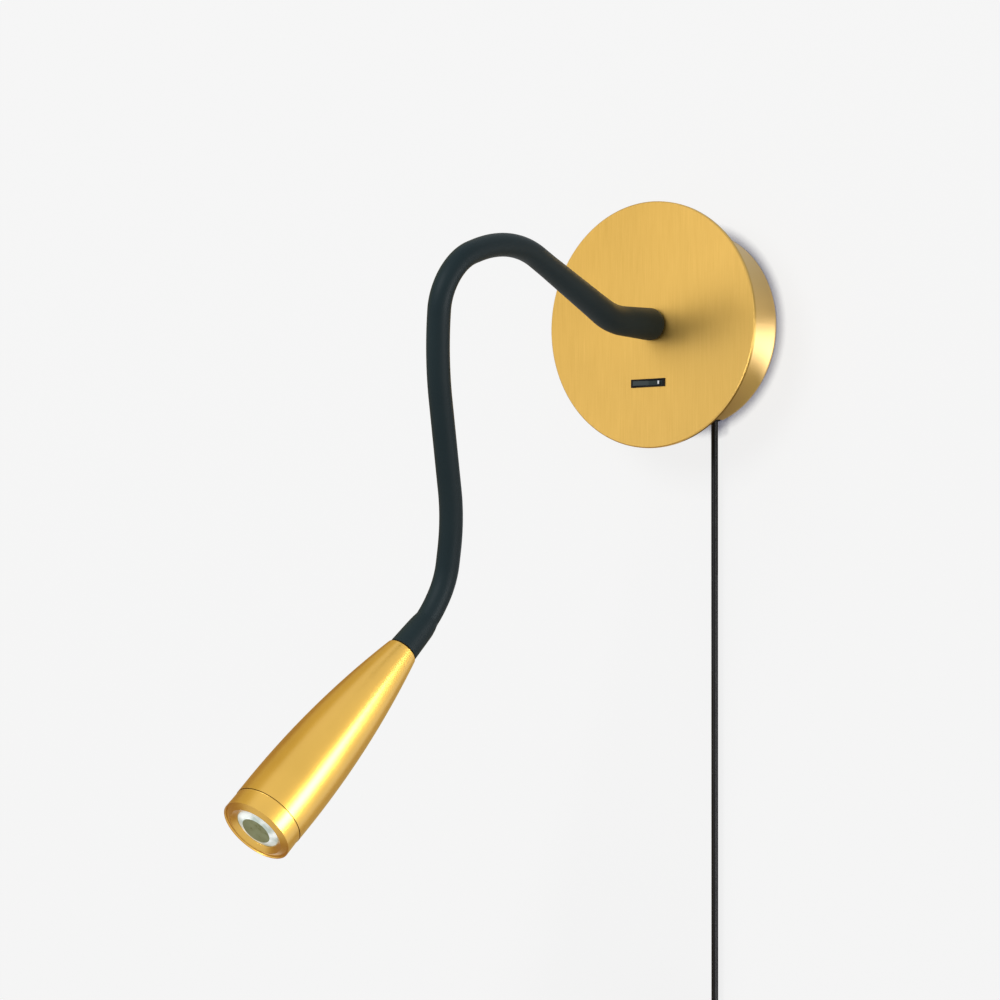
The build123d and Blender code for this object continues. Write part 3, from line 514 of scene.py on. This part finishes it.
def tube_piece(name, low, high, radius_at, sides):
    """One stretch of a tube round the arm's centreline, between two stations."""
    low -= STATION_TOLERANCE
    high += STATION_TOLERANCE
    rings = [sample for sample in ARM if low <= sample[0] <= high]
    points = []
    for station, place, direction in rings:
        centre = arm_place(place)
        other = arm_direction(direction).cross(ARM_NORMAL)
        for side in range(sides):
            angle = 2 * pi * side / sides
            ray = ARM_NORMAL * cos(angle) + other * sin(angle)
            points.append(centre + ray * radius_at(station) * MM)
    return mesh_object(name, points, ring_faces(len(rings), sides), radians(50))


def nearest(values, target):
    return min(values, key=lambda value: abs(value - target))


def bending_tube(name, node, radius_at, sides, material):
    """A tube along the arm, cut into one piece for each joint."""
    stations = [sample[0] for sample in ARM]
    middles = [(before + after) / 2 for before, after in zip(JOINT_STATIONS, JOINT_STATIONS[1:])]
    cuts = [0.0] + [nearest(stations, middle) for middle in middles] + [ARM_LENGTH]
    for number, joint in enumerate(JOINT_STATIONS):
        piece = tube_piece(f"{name}_{number + 1}", cuts[number], cuts[number + 1], radius_at, sides)
        paint(piece, material)
        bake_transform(piece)
        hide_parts(node)


bending_tube("sleeve", "gooseneck_sleeve", sleeve_radius, 48, sleeve_black)
bending_tube("cable", "arm_cable", lambda station: CABLE_RADIUS, 12, cable_plastic)

# Face plate and drum keep their solids
paint(nodes["face_plate"], plate_brass)
paint(nodes["base_cup"], drum_brass)

# Head: shell, bezel and lens turned finely on the axis of the arm's tip
head_place, head_direction = arm_at(ARM_LENGTH)
head_across = head_direction.cross(ARM_NORMAL).normalized()


def head_piece(name, node, slot, outline, closed, *materials):
    """A piece of the head, turned on its axis from the neck."""
    piece = lathe(name, outline, head_place, head_direction, head_across, closed=closed)
    paint(piece, *materials)
    dress(piece, "head", node)
    return piece


def ogive_outline():
    """The head's side from the cylinder down to the neck, on one arc."""
    height = OGIVE_END - NECK_BREAK
    depth = HEAD_RADIUS - NECK_RADIUS
    radius = (height**2 + depth**2) / (2 * depth)
    outline = []
    for step in range(OGIVE_STEPS, -1, -1):
        drop = height * step / OGIVE_STEPS
        inset = radius - (radius**2 - drop**2) ** 0.5
        outline.append((HEAD_RADIUS - inset, OGIVE_END - drop))
    return outline


shell_front = rounded(
    [(HEAD_RADIUS, OGIVE_END + 1), (HEAD_RADIUS, SHELL_LENGTH), (CAVITY_RADIUS, SHELL_LENGTH)],
    [0.12],
)
head_piece(
    "spot_shell",
    "head_shell",
    "head_gold",
    [
        (THREAD_RADIUS, 0),
        (NECK_RADIUS - NECK_BREAK, 0),
        *ogive_outline(),
        *shell_front,
        (CAVITY_RADIUS, CAVITY_BACK),
        (THREAD_RADIUS, THREAD_END),
    ],
    True,
    head_gold,
)
head_piece(
    "spot_bezel",
    "head_bezel",
    "head_gold",
    rounded(
        [
            (SPIGOT_RADIUS, SPIGOT_BACK),
            (SPIGOT_RADIUS, SEAM_BACK),
            (SEAM_RADIUS, SEAM_BACK),
            (SEAM_RADIUS, BEZEL_BACK),
            (HEAD_RADIUS, BEZEL_BACK),
            (HEAD_RADIUS, HEAD_LENGTH),
            (DISH_RADIUS, HEAD_LENGTH),
            (OPENING_RADIUS, OPENING_FRONT),
            (OPENING_RADIUS, LENS_SEAT),
            (LENS_POCKET_RADIUS, LENS_SEAT),
            (LENS_POCKET_RADIUS, SPIGOT_BACK),
        ],
        [0, 0, 0, 0.1, 0.7, 0.35, 0.1, 0.1, 0],
    ),
    True,
    head_gold,
)
lens_piece = head_piece(
    "spot_lens",
    "lens",
    "lens_clear",
    rounded(
        [
            (0, LENS_FOOT),
            (LENS_FOOT_RADIUS, LENS_FOOT),
            (LENS_FLANGE_RADIUS, LENS_BACK),
            (LENS_FLANGE_RADIUS, LENS_SEAT),
            (LENS_RADIUS, LENS_SEAT),
            (LENS_RADIUS, LENS_SHOULDER),
            (LENS_FACE_RADIUS, LENS_FACE),
            (0, LENS_FACE),
        ],
        [0, 0, 0, 0, 0.3, 0.25],
    ),
    False,
    lens_clear,
    lens_frost,
)
for face in lens_piece.data.polygons:
    height = (face.center - head_place).dot(head_direction) / MM
    if height > LENS_FACE - LENS_FACE_DEPTH:
        face.material_index = 1
paint(nodes["led_chip"], chip_yellow)
paint(nodes["led_board"], board_white)
paint(nodes["heat_sink"], zinc)

# Switch: the housing and rocker keep their solids, with a small painted mark on the rocker
paint(nodes["switch_housing"], black_plastic)
soften(nodes["switch_housing"], 0.1)
paint(nodes["rocker"], rocker_plastic)
soften(nodes["rocker"], 0.12)
paint(nodes["switch_blades"], blade_brass)


def rocker_mark(name, centre, size):
    """A thin painted bar on the raised half of the rocker; centre is the distance from the pivot."""
    across = Vector((cos(ROCKER_TILT), -sin(ROCKER_TILT), 0))
    outwards = Vector((-sin(ROCKER_TILT), -cos(ROCKER_TILT), 0))
    slope = tan(ROCKER_TILT)
    along = (across + outwards * slope).normalized()
    above = along.cross(UP)
    if above.dot(outwards) < 0:
        above = -above
    middle = ROCKER_PIVOT + across * centre + outwards * (ROCKER_WAIST + slope * centre)
    points = []
    for level in MARK_LEVELS:
        for x, z in CORNERS:
            place = middle + along * (x * size[0] / 2) + UP * (z * size[1] / 2) + above * level
            points.append(place * MM)
    sides = ring_faces(2, 4)
    piece = mesh_object(name, points, [*sides, (3, 2, 1, 0), (4, 5, 6, 7)])
    soften(piece, 0.03)
    paint(piece, mark_paint)
    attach(piece, "rocker")


rocker_mark("rocker_mark", MARK_CENTRE, MARK_SIZE)

# Other pieces that keep their solids
for name in ("base_ferrule", "head_ferrule", *[f"gooseneck_link_{number}" for number in range(1, 10)]):
    paint(nodes[name], steel)
for name in ("side_screws", "plate_nuts", "lock_nut", "terminal_screw", "cord_stop_screw"):
    paint(nodes[name], zinc)
paint(nodes["wall_bracket"], zinc)
for name in ("led_driver", "terminal_block"):
    paint(nodes[name], white_plastic)
    soften(nodes[name], 0.3)
paint(nodes["driver_pad"], pad_foam)
paint(nodes["cord_stop"], black_plastic)
paint(nodes["led_leads"], lead_red)
soften(nodes["side_screws"], 0.3)
soften(nodes["wall_bracket"], 0.15)


# Cord
def coil_steps():
    """Radius and climb of each half turn of the coil, as in the solid."""
    inward = [COIL_INNER + COIL_PITCH / 2 * turn for turn in range(COIL_HALF_TURNS, 0, -1)]
    widest = COIL_INNER + COIL_PITCH / 2 * (COIL_HALF_TURNS + 1)
    steps = []
    for layer in range(COIL_LAYERS):
        radii = inward if layer % 2 == 0 else inward[::-1]
        steps += [(radius, 0) for radius in radii]
        turning = COIL_INNER if layer % 2 == 0 else widest
        steps.append((turning, COIL_PITCH if layer < COIL_LAYERS - 1 else 0))
    return steps


def cord_route():
    """Control points of the cord: its straight drop, the turns of the coil and its short tail."""
    here = Vector((CORD_X, CORD_Y, COIL_CENTRE))
    points = [Vector((CORD_X, CORD_Y, CORD_TOP)), here + Vector((0, 0, CORD_DIAMETER))]
    for number, (radius, climb) in enumerate(coil_steps()):
        side = -1 if number % 2 == 0 else 1
        there = here + Vector((2 * side * radius, -climb, 0))
        half_chord = (there - here) / 2
        drop = Vector((0, 0, side * half_chord.length))
        count = COIL_POINTS_A_HALF_TURN
        stretch = 1 / cos(pi / (2 * count))
        for step in range(count):
            angle = pi * (step + 0.5) / count
            points.append(here + half_chord * (1 - cos(angle) * stretch) + drop * (sin(angle) * stretch))
        here = there
    points += [here - Vector((0, 0, CORD_DIAMETER)), here - Vector((0, 0, CORD_TAIL))]
    return points


def curve_piece(name, points, radius):
    """A round rod on a smooth curve that its points pull into shape."""
    curve = bpy.data.curves.new(name, "CURVE")
    curve.dimensions = "3D"
    curve.bevel_depth = radius
    curve.bevel_resolution = 5
    curve.use_fill_caps = True
    spline = curve.splines.new("NURBS")
    spline.points.add(len(points) - 1)
    for place, point in zip(spline.points, points):
        place.co = (*point, 1)
    spline.order_u = 3
    spline.use_endpoint_u = True
    spline.resolution_u = 6
    piece = bpy.data.objects.new(name, curve)
    bpy.context.scene.collection.objects.link(piece)
    return piece


def lead(name, node, points, material):
    """A thin insulated lead on a smooth curve through the base."""
    piece = curve_piece(name, [Vector(point) * MM for point in points], LEAD_RADIUS * MM)
    paint(piece, material)
    dress(piece, "base", node)


# Leads: from the cord to the terminal block, on to the driver, and from the driver to switch and arm
mains_materials = (lead_brown, lead_blue)
for name, x, shift, material in zip(("live", "neutral"), BLOCK_WAYS, LEAD_SHIFTS, mains_materials):
    lead(
        f"mains_{name}",
        "mains_leads",
        [
            (LEAD_ENTRY.x, LEAD_ENTRY.y - shift, LEAD_ENTRY.z),
            (LEAD_ENTRY.x, LEAD_ENTRY.y - shift, LEAD_ENTRY.z + 4.5),
            (x + 7.0, BLOCK_Y + 7.0 - shift, BLOCK_BOTTOM - 10.5),
            (x, BLOCK_Y, BLOCK_BOTTOM - 8.0),
            (x, BLOCK_Y, BLOCK_BOTTOM),
        ],
        material,
    )
    lead(
        f"driver_{name}",
        "driver_leads",
        [(x, BLOCK_Y, BLOCK_TOP), (x, BLOCK_Y + 0.5, BLOCK_TOP + 7.5), (x, BLOCK_Y, DRIVER_BOTTOM)],
        material,
    )
for name, x in zip(("left", "right"), BLADE_PLACES):
    lead(
        f"switch_{name}",
        "switch_leads",
        [
            (x, BLADE_END, ROCKER_PIVOT.z),
            (x, BLADE_END + 4.5, ROCKER_PIVOT.z),
            (x + 9.0, SWITCH_LEAD_Y, DRIVER_BOTTOM - 8.0),
            (x + 9.0, SWITCH_LEAD_Y, DRIVER_BOTTOM),
        ],
        lead_black,
    )
for name, x, material in zip(("red", "black"), LEAD_SHIFTS, (lead_red, lead_black)):
    lead(
        f"lamp_{name}",
        "lamp_leads",
        [(x, ARM_CABLE_END, 0.0), (x, ARM_CABLE_END + 5.0, 0.0), (x, ARM_CABLE_END + 5.0, DRIVER_BOTTOM)],
        material,
    )

# Grommet in the drum's rim
grommet = lathe(
    "grommet",
    rounded(
        [
            (GROMMET_BORE, GROMMET_MIDDLE),
            (GROMMET_BORE, 0),
            (GROMMET_FLANGE[0], 0),
            GROMMET_FLANGE,
            (GROMMET_NECK[0], GROMMET_FLANGE[1]),
            GROMMET_NECK,
            (GROMMET_BORE, GROMMET_NECK[1]),
        ],
        [0.2, 0.3, 0.3, 0, 0.3],
    ),
    Vector((CORD_X, CORD_Y, GROMMET_TOP * MM)),
    DOWN,
    Vector((1, 0, 0)),
    sides=48,
    closed=True,
)
paint(grommet, black_plastic)
dress(grommet, "base", "cord_grommet")


# Tie round the coil: a flat strap with rounded corners and edges
def strap(name, low, high, thickness, corner):
    """A closed strap lying in the level plane between two corners of its box."""

    def loop(inset):
        radius = corner - inset
        points = []
        ends = ((high.x, high.y), (low.x, high.y), (low.x, low.y), (high.x, low.y))
        for turn, (x, y) in enumerate(ends):
            side_x = 1 if x == high.x else -1
            side_y = 1 if y == high.y else -1
            centre = Vector((x - side_x * corner, y - side_y * corner))
            for step in range(TIE_CORNER_POINTS):
                angle = (turn + step / (TIE_CORNER_POINTS - 1)) * pi / 2
                points.append(centre + Vector((cos(angle), sin(angle))) * radius)
        return points

    half = (high.z - low.z) / 2
    middle = (high.z + low.z) / 2
    edge = thickness / 3
    section = (
        (thickness, -half + edge),
        (thickness * 0.7, -half),
        (edge, -half),
        (0, -half + edge),
        (0, half - edge),
        (edge, half),
        (thickness * 0.7, half),
        (thickness, half - edge),
    )
    points = []
    for inset, height in section:
        points += [(place.x, place.y, middle + height) for place in loop(inset)]
    return mesh_object(name, points, ring_faces(len(section), 4 * TIE_CORNER_POINTS, closed=True))


tie_low, tie_high = [Vector(corner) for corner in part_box("cord_tie")]
tie = strap("tie_strap", tie_low, tie_high, TIE_THICKNESS, TIE_CORNER)
paint(tie, plug_plastic)
dress(tie, "base", "cord_tie")


# Ribbed strain relief and moulded plug with finger grooves; the pins keep their solids
def ribs(depth, stretch, groove):
    """How far the surface lies below its ribs, within a stretch of them."""
    if stretch[0] < depth < stretch[1]:
        return groove * (1 - cos(2 * pi * depth / RIB_PITCH))
    return 0


relief_outline = [(0, 0), (RELIEF_RADII[0] - RELIEF_EDGE, 0)]
for step in range(1, RELIEF_STEPS):
    depth = RELIEF_LENGTH * step / RELIEF_STEPS
    radius = RELIEF_RADII[0] + (RELIEF_RADII[1] - RELIEF_RADII[0]) * depth / RELIEF_LENGTH
    relief_outline.append((radius - ribs(depth, RELIEF_RIBS, RELIEF_GROOVE), depth))
relief_outline += [(RELIEF_RADII[1], RELIEF_LENGTH), (0, RELIEF_LENGTH)]
relief = lathe(
    "relief", relief_outline, (PLUG_PLACE + UP * RELIEF_TOP) * MM, DOWN, Vector((1, 0, 0)), sides=48
)
paint(relief, plug_plastic)
dress(relief, "base", "plug_relief")


def plug_sizes(depth):
    """Half width and half depth of the plug at a distance below its neck."""
    if depth < PLUG_SHOULDER:
        share = depth / PLUG_SHOULDER
        width = PLUG_HALF_WIDTHS[0] + (PLUG_HALF_WIDTHS[1] - PLUG_HALF_WIDTHS[0]) * share
        thickness = PLUG_HALF_DEPTHS[0] + (PLUG_HALF_DEPTHS[1] - PLUG_HALF_DEPTHS[0]) * share
    else:
        share = (depth - PLUG_SHOULDER) / (PLUG_LENGTH - PLUG_SHOULDER)
        width = PLUG_HALF_WIDTHS[1] + (PLUG_HALF_WIDTHS[2] - PLUG_HALF_WIDTHS[1]) * share
        thickness = PLUG_HALF_DEPTHS[1]
    rim = min(depth, PLUG_LENGTH - depth)
    shrink = PLUG_EDGE - max(0, PLUG_EDGE**2 - (PLUG_EDGE - rim) ** 2) ** 0.5 if rim < PLUG_EDGE else 0
    return width - shrink, thickness - shrink - ribs(depth, PLUG_GRIP, PLUG_GROOVE)


def moulded_plug(name, sides=64, step=0.25):
    """The rounded body of the plug, from its neck down to the face with the pins."""
    points = []
    levels = round(PLUG_LENGTH / step)
    for level in range(levels + 1):
        depth = PLUG_LENGTH * level / levels
        width, thickness = plug_sizes(depth)
        for side in range(sides):
            angle = 2 * pi * side / sides
            x, y = cos(angle), sin(angle)
            bulge = (abs(x) ** PLUG_POWER + abs(y) ** PLUG_POWER) ** (-1 / PLUG_POWER)
            place = PLUG_PLACE + Vector((width * x * bulge, thickness * y * bulge, PLUG_TOP - depth))
            points.append(place * MM)
    last = levels * sides
    caps = [tuple(range(sides))[::-1], tuple(range(last, last + sides))]
    return mesh_object(name, points, ring_faces(levels + 1, sides) + caps, radians(50))


plug = moulded_plug("plug")
paint(plug, plug_plastic)
dress(plug, "base", "plug_body")

paint(nodes["plug_pins"], nickel)
soften(nodes["plug_pins"], 0.15)

cord = curve_piece("cord", cord_route(), CORD_DIAMETER / 2)
paint(cord, cord_black)
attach(cord, "base")
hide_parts("cord_drop", "cord_coil", "cord_tail")

# Studio: a pale wall that keeps faint shadows, soft light, and cards for the metal to mirror
BACKGROUND = 0.922
WALL_HALF = 6.0
WALL_GAP = 0.0005
WALL_GREY = 0.93
WALL_GLOW = 0.9
# The wall's glow is painted darker in this colour close to the drum: a painted contact shadow.
PAINTED_CONTACT_SHADOW = (0.13, 0.13, 0.18)
CONTACT_REACH = 0.005
CONTACT_RADII = (0.042, 0.0465)
WORLD_LIGHT = 0.42
HEAD_MIDDLE = Vector((-0.055, -0.18, -0.175))
HEAD_FRONT = Vector((-0.07, -0.21, -0.21))
KEY_PLACE = (-0.25, -2.2, 0.75)
KEY_TARGET = (0, 0, -0.1)
KEY_SIZE = (1.0, 1.0)
KEY_POWER = 32
SIDE_OFFSET = Vector((0.956, 0.267, 0.097)) * 0.5
SIDE_SIZE = (0.2, 0.6)
SIDE_POWER = 3.9

# Dim cards that the head mirrors: name, point of the head, direction, distance, side and colour
SHADE_CARDS = [
    ("low_shade", HEAD_FRONT, Vector((-0.779, 0.214, -0.589)), 0.3, 0.6, (0.38, 0.25, 0.14)),
    ("left_shade", HEAD_MIDDLE, Vector((-0.60, 0.10, 0.75)), 0.3, 0.35, (0.66, 0.56, 0.26)),
    ("left_rim_shade", HEAD_MIDDLE, Vector((-0.75, 0.60, 0.28)), 0.2, 0.24, (0.42, 0.26, 0.08)),
    ("right_rim_shade", HEAD_MIDDLE, Vector((-0.10, 0.95, -0.28)), 0.14, 0.16, (0.52, 0.40, 0.17)),
]

# Card beside the drum: its place, the heights that its grade runs between and its shades
# Its dim ends are painted shade of the wall round the drum; its bright middle is a strip of light.
DRUM_CARD_WIDTH = 0.09
DRUM_CARD_HEIGHT = 0.2
DRUM_CARD_Y = -0.0012
DRUM_CARD_GRADE = (-0.05, 0.04)
DRUM_CARD_ENDS = ((0.14, 0.09, 0.05), (0.57, 0.62, 0.66))
DRUM_CARD_SHADES = ((0.28, (0.36, 0.33, 0.20)), (0.44, (3.0, 3.0, 3.0)), (0.62, (0.42, 0.42, 0.40)))


def seen_directly(tree):
    """One for rays that show the background itself: to the camera, in metal and through clear pieces."""
    path = tree.nodes.new("ShaderNodeLightPath")
    total = path.outputs["Is Camera Ray"]
    for kind in ("Is Glossy Ray", "Is Transmission Ray"):
        node = tree.nodes.new("ShaderNodeMath")
        node.operation = "MAXIMUM"
        tree.links.new(total, node.inputs[0])
        tree.links.new(path.outputs[kind], node.inputs[1])
        total = node.outputs[0]
    return total


def mix_shaders(tree, factor, first, second):
    node = tree.nodes.new("ShaderNodeMixShader")
    tree.links.new(factor, node.inputs[0])
    tree.links.new(first, node.inputs[1])
    tree.links.new(second, node.inputs[2])
    return node.outputs[0]


def wall():
    """The wall: glowing where it is seen, matt to light, with a painted contact shadow in its glow close
    to the drum, clear from behind.
    """
    points = [(x * WALL_HALF, WALL_GAP, z * WALL_HALF) for x, z in CORNERS]
    piece = mesh_object("wall", points, [(0, 1, 2, 3)])
    if piece.data.polygons[0].normal.y > 0:
        piece.data.flip_normals()
    material, tree, shader = new_material("wall_paint")
    tree.nodes.remove(shader)
    matt = tree.nodes.new("ShaderNodeBsdfDiffuse")
    matt.inputs["Color"].default_value = (WALL_GREY, WALL_GREY, WALL_GREY, 1)
    glow = tree.nodes.new("ShaderNodeEmission")
    contact = tree.nodes.new("ShaderNodeAmbientOcclusion")
    contact.samples = 4
    contact.inputs["Distance"].default_value = CONTACT_REACH
    beside = tree.nodes.new("ShaderNodeVectorMath")
    beside.operation = "LENGTH"
    tree.links.new(coordinates(tree), beside.inputs[0])
    openness = tree.nodes.new("ShaderNodeMath")
    openness.operation = "MAXIMUM"
    tree.links.new(spread(tree, contact.outputs["AO"], 0, 1, 0.5, 0.95), openness.inputs[0])
    tree.links.new(spread(tree, beside.outputs["Value"], 0, 1, *CONTACT_RADII), openness.inputs[1])
    # Painted shadow: the glow darkens to the contact colour where the drum hems the wall in.
    shadow_tint = mix_colours(tree, openness.outputs[0], PAINTED_CONTACT_SHADOW, (BACKGROUND, BACKGROUND, BACKGROUND))
    tree.links.new(shadow_tint, glow.inputs["Color"])
    share = tree.nodes.new("ShaderNodeMath")
    share.operation = "MULTIPLY"
    share.inputs[1].default_value = WALL_GLOW
    tree.links.new(seen_directly(tree), share.inputs[0])
    front = mix_shaders(tree, share.outputs[0], matt.outputs[0], glow.outputs[0])
    clear = tree.nodes.new("ShaderNodeBsdfTransparent")
    sides = tree.nodes.new("ShaderNodeNewGeometry")
    both = mix_shaders(tree, sides.outputs["Backfacing"], front, clear.outputs[0])
    tree.links.new(both, tree.nodes["Material Output"].inputs["Surface"])
    paint(piece, material)


def area_light(name, place, target, size, power, along=UP, reflections_only=False):
    """A soft box; along is its second side. With reflections_only it lights nothing matt."""
    light = bpy.data.lights.new(name, "AREA")
    light.shape = "RECTANGLE"
    light.size, light.size_y = size
    light.energy = power
    piece = bpy.data.objects.new(name, light)
    back = (Vector(place) - Vector(target)).normalized()
    upright = (along - back * along.dot(back)).normalized()
    turn = Matrix((upright.cross(back), upright, back)).transposed()
    piece.matrix_world = Matrix.Translation(Vector(place)) @ turn.to_4x4()
    piece.visible_camera = False
    piece.visible_diffuse = not reflections_only
    bpy.context.scene.collection.objects.link(piece)


def mirrored_card(name, points):
    """A card that shows only in reflections; gives its nodes and its glow, still without a colour."""
    piece = mesh_object(name, points, [(0, 1, 2, 3)])
    material, tree, shader = new_material(name)
    tree.nodes.remove(shader)
    glow = tree.nodes.new("ShaderNodeEmission")
    tree.links.new(glow.outputs[0], tree.nodes["Material Output"].inputs["Surface"])
    paint(piece, material)
    piece.visible_camera = False
    piece.visible_diffuse = False
    piece.visible_transmission = False
    piece.visible_shadow = False
    return tree, glow


def shade_card(name, start, direction, distance, size, colour):
    """A dim card that shows only in reflections, held at a distance from a point of the lamp."""
    back = -direction.normalized()
    across = back.cross(UP).normalized()
    rise = across.cross(back)
    middle = start - back * distance
    half = size / 2
    points = [middle + across * (x * half) + rise * (z * half) for x, z in CORNERS]
    glow = mirrored_card(name, points)[1]
    glow.inputs["Color"].default_value = (*colour, 1)


def drum_card():
    """A card on the wall beside the drum that the drum mirrors: a bright strip of light across its
    middle, and painted shade of the wall above and below.
    """
    middle = DRUM_CARD_WIDTH / 2
    half = DRUM_CARD_HEIGHT / 2
    points = [(middle + x * middle, DRUM_CARD_Y, z * half) for x, z in CORNERS]
    tree, glow = mirrored_card("drum_card", points)
    place = tree.nodes.new("ShaderNodeSeparateXYZ")
    tree.links.new(coordinates(tree), place.inputs[0])
    grade = tree.nodes.new("ShaderNodeValToRGB")
    grade.color_ramp.interpolation = "EASE"
    shades = grade.color_ramp.elements
    shades[0].color = (*DRUM_CARD_ENDS[0], 1)
    shades[1].color = (*DRUM_CARD_ENDS[1], 1)
    for share, colour in DRUM_CARD_SHADES:
        shades.new(share).color = (*colour, 1)
    tree.links.new(spread(tree, place.outputs["Z"], 0, 1, *DRUM_CARD_GRADE), grade.inputs[0])
    tree.links.new(grade.outputs["Color"], glow.inputs["Color"])


def daylight():
    """Even soft light, and the pale shade of the background where that itself is seen."""
    world = bpy.data.worlds.new("studio")
    world.use_nodes = True
    tree = world.node_tree
    soft = tree.nodes["Background"]
    soft.inputs["Color"].default_value = (1, 1, 1, 1)
    soft.inputs["Strength"].default_value = WORLD_LIGHT
    shown = tree.nodes.new("ShaderNodeBackground")
    shown.inputs["Color"].default_value = (BACKGROUND, BACKGROUND, BACKGROUND, 1)
    both = mix_shaders(tree, seen_directly(tree), soft.outputs[0], shown.outputs[0])
    tree.links.new(both, tree.nodes["World Output"].inputs["Surface"])
    bpy.context.scene.world = world


def camera():
    """A long lens that puts the origin of the lamp on its pixel, at the measured scale."""
    data = bpy.data.cameras.new("camera")
    data.sensor_width = SENSOR
    data.lens = SENSOR * PIXELS_PER_METRE * CAMERA_DISTANCE / PICTURE_SIZE
    data.clip_end = CAMERA_FAR
    half = PICTURE_SIZE / 2
    target = CAMERA_RIGHT * ((half - ORIGIN_PIXEL[0]) / PIXELS_PER_METRE)
    target += CAMERA_UP * ((ORIGIN_PIXEL[1] - half) / PIXELS_PER_METRE)
    place = target + CAMERA_BACK * CAMERA_DISTANCE
    piece = bpy.data.objects.new("camera", data)
    turn = Matrix((CAMERA_RIGHT, CAMERA_UP, CAMERA_BACK)).transposed()
    piece.matrix_world = Matrix.Translation(place) @ turn.to_4x4()
    bpy.context.scene.collection.objects.link(piece)
    bpy.context.scene.camera = piece


wall()
daylight()
area_light("key", KEY_PLACE, KEY_TARGET, KEY_SIZE, KEY_POWER)
area_light(
    "side_card",
    HEAD_MIDDLE + SIDE_OFFSET,
    HEAD_MIDDLE,
    SIDE_SIZE,
    SIDE_POWER,
    along=head_direction,
    reflections_only=True,
)
drum_card()
for card in SHADE_CARDS:
    shade_card(*card)
camera()
bpy.context.scene.view_settings.view_transform = "Standard"
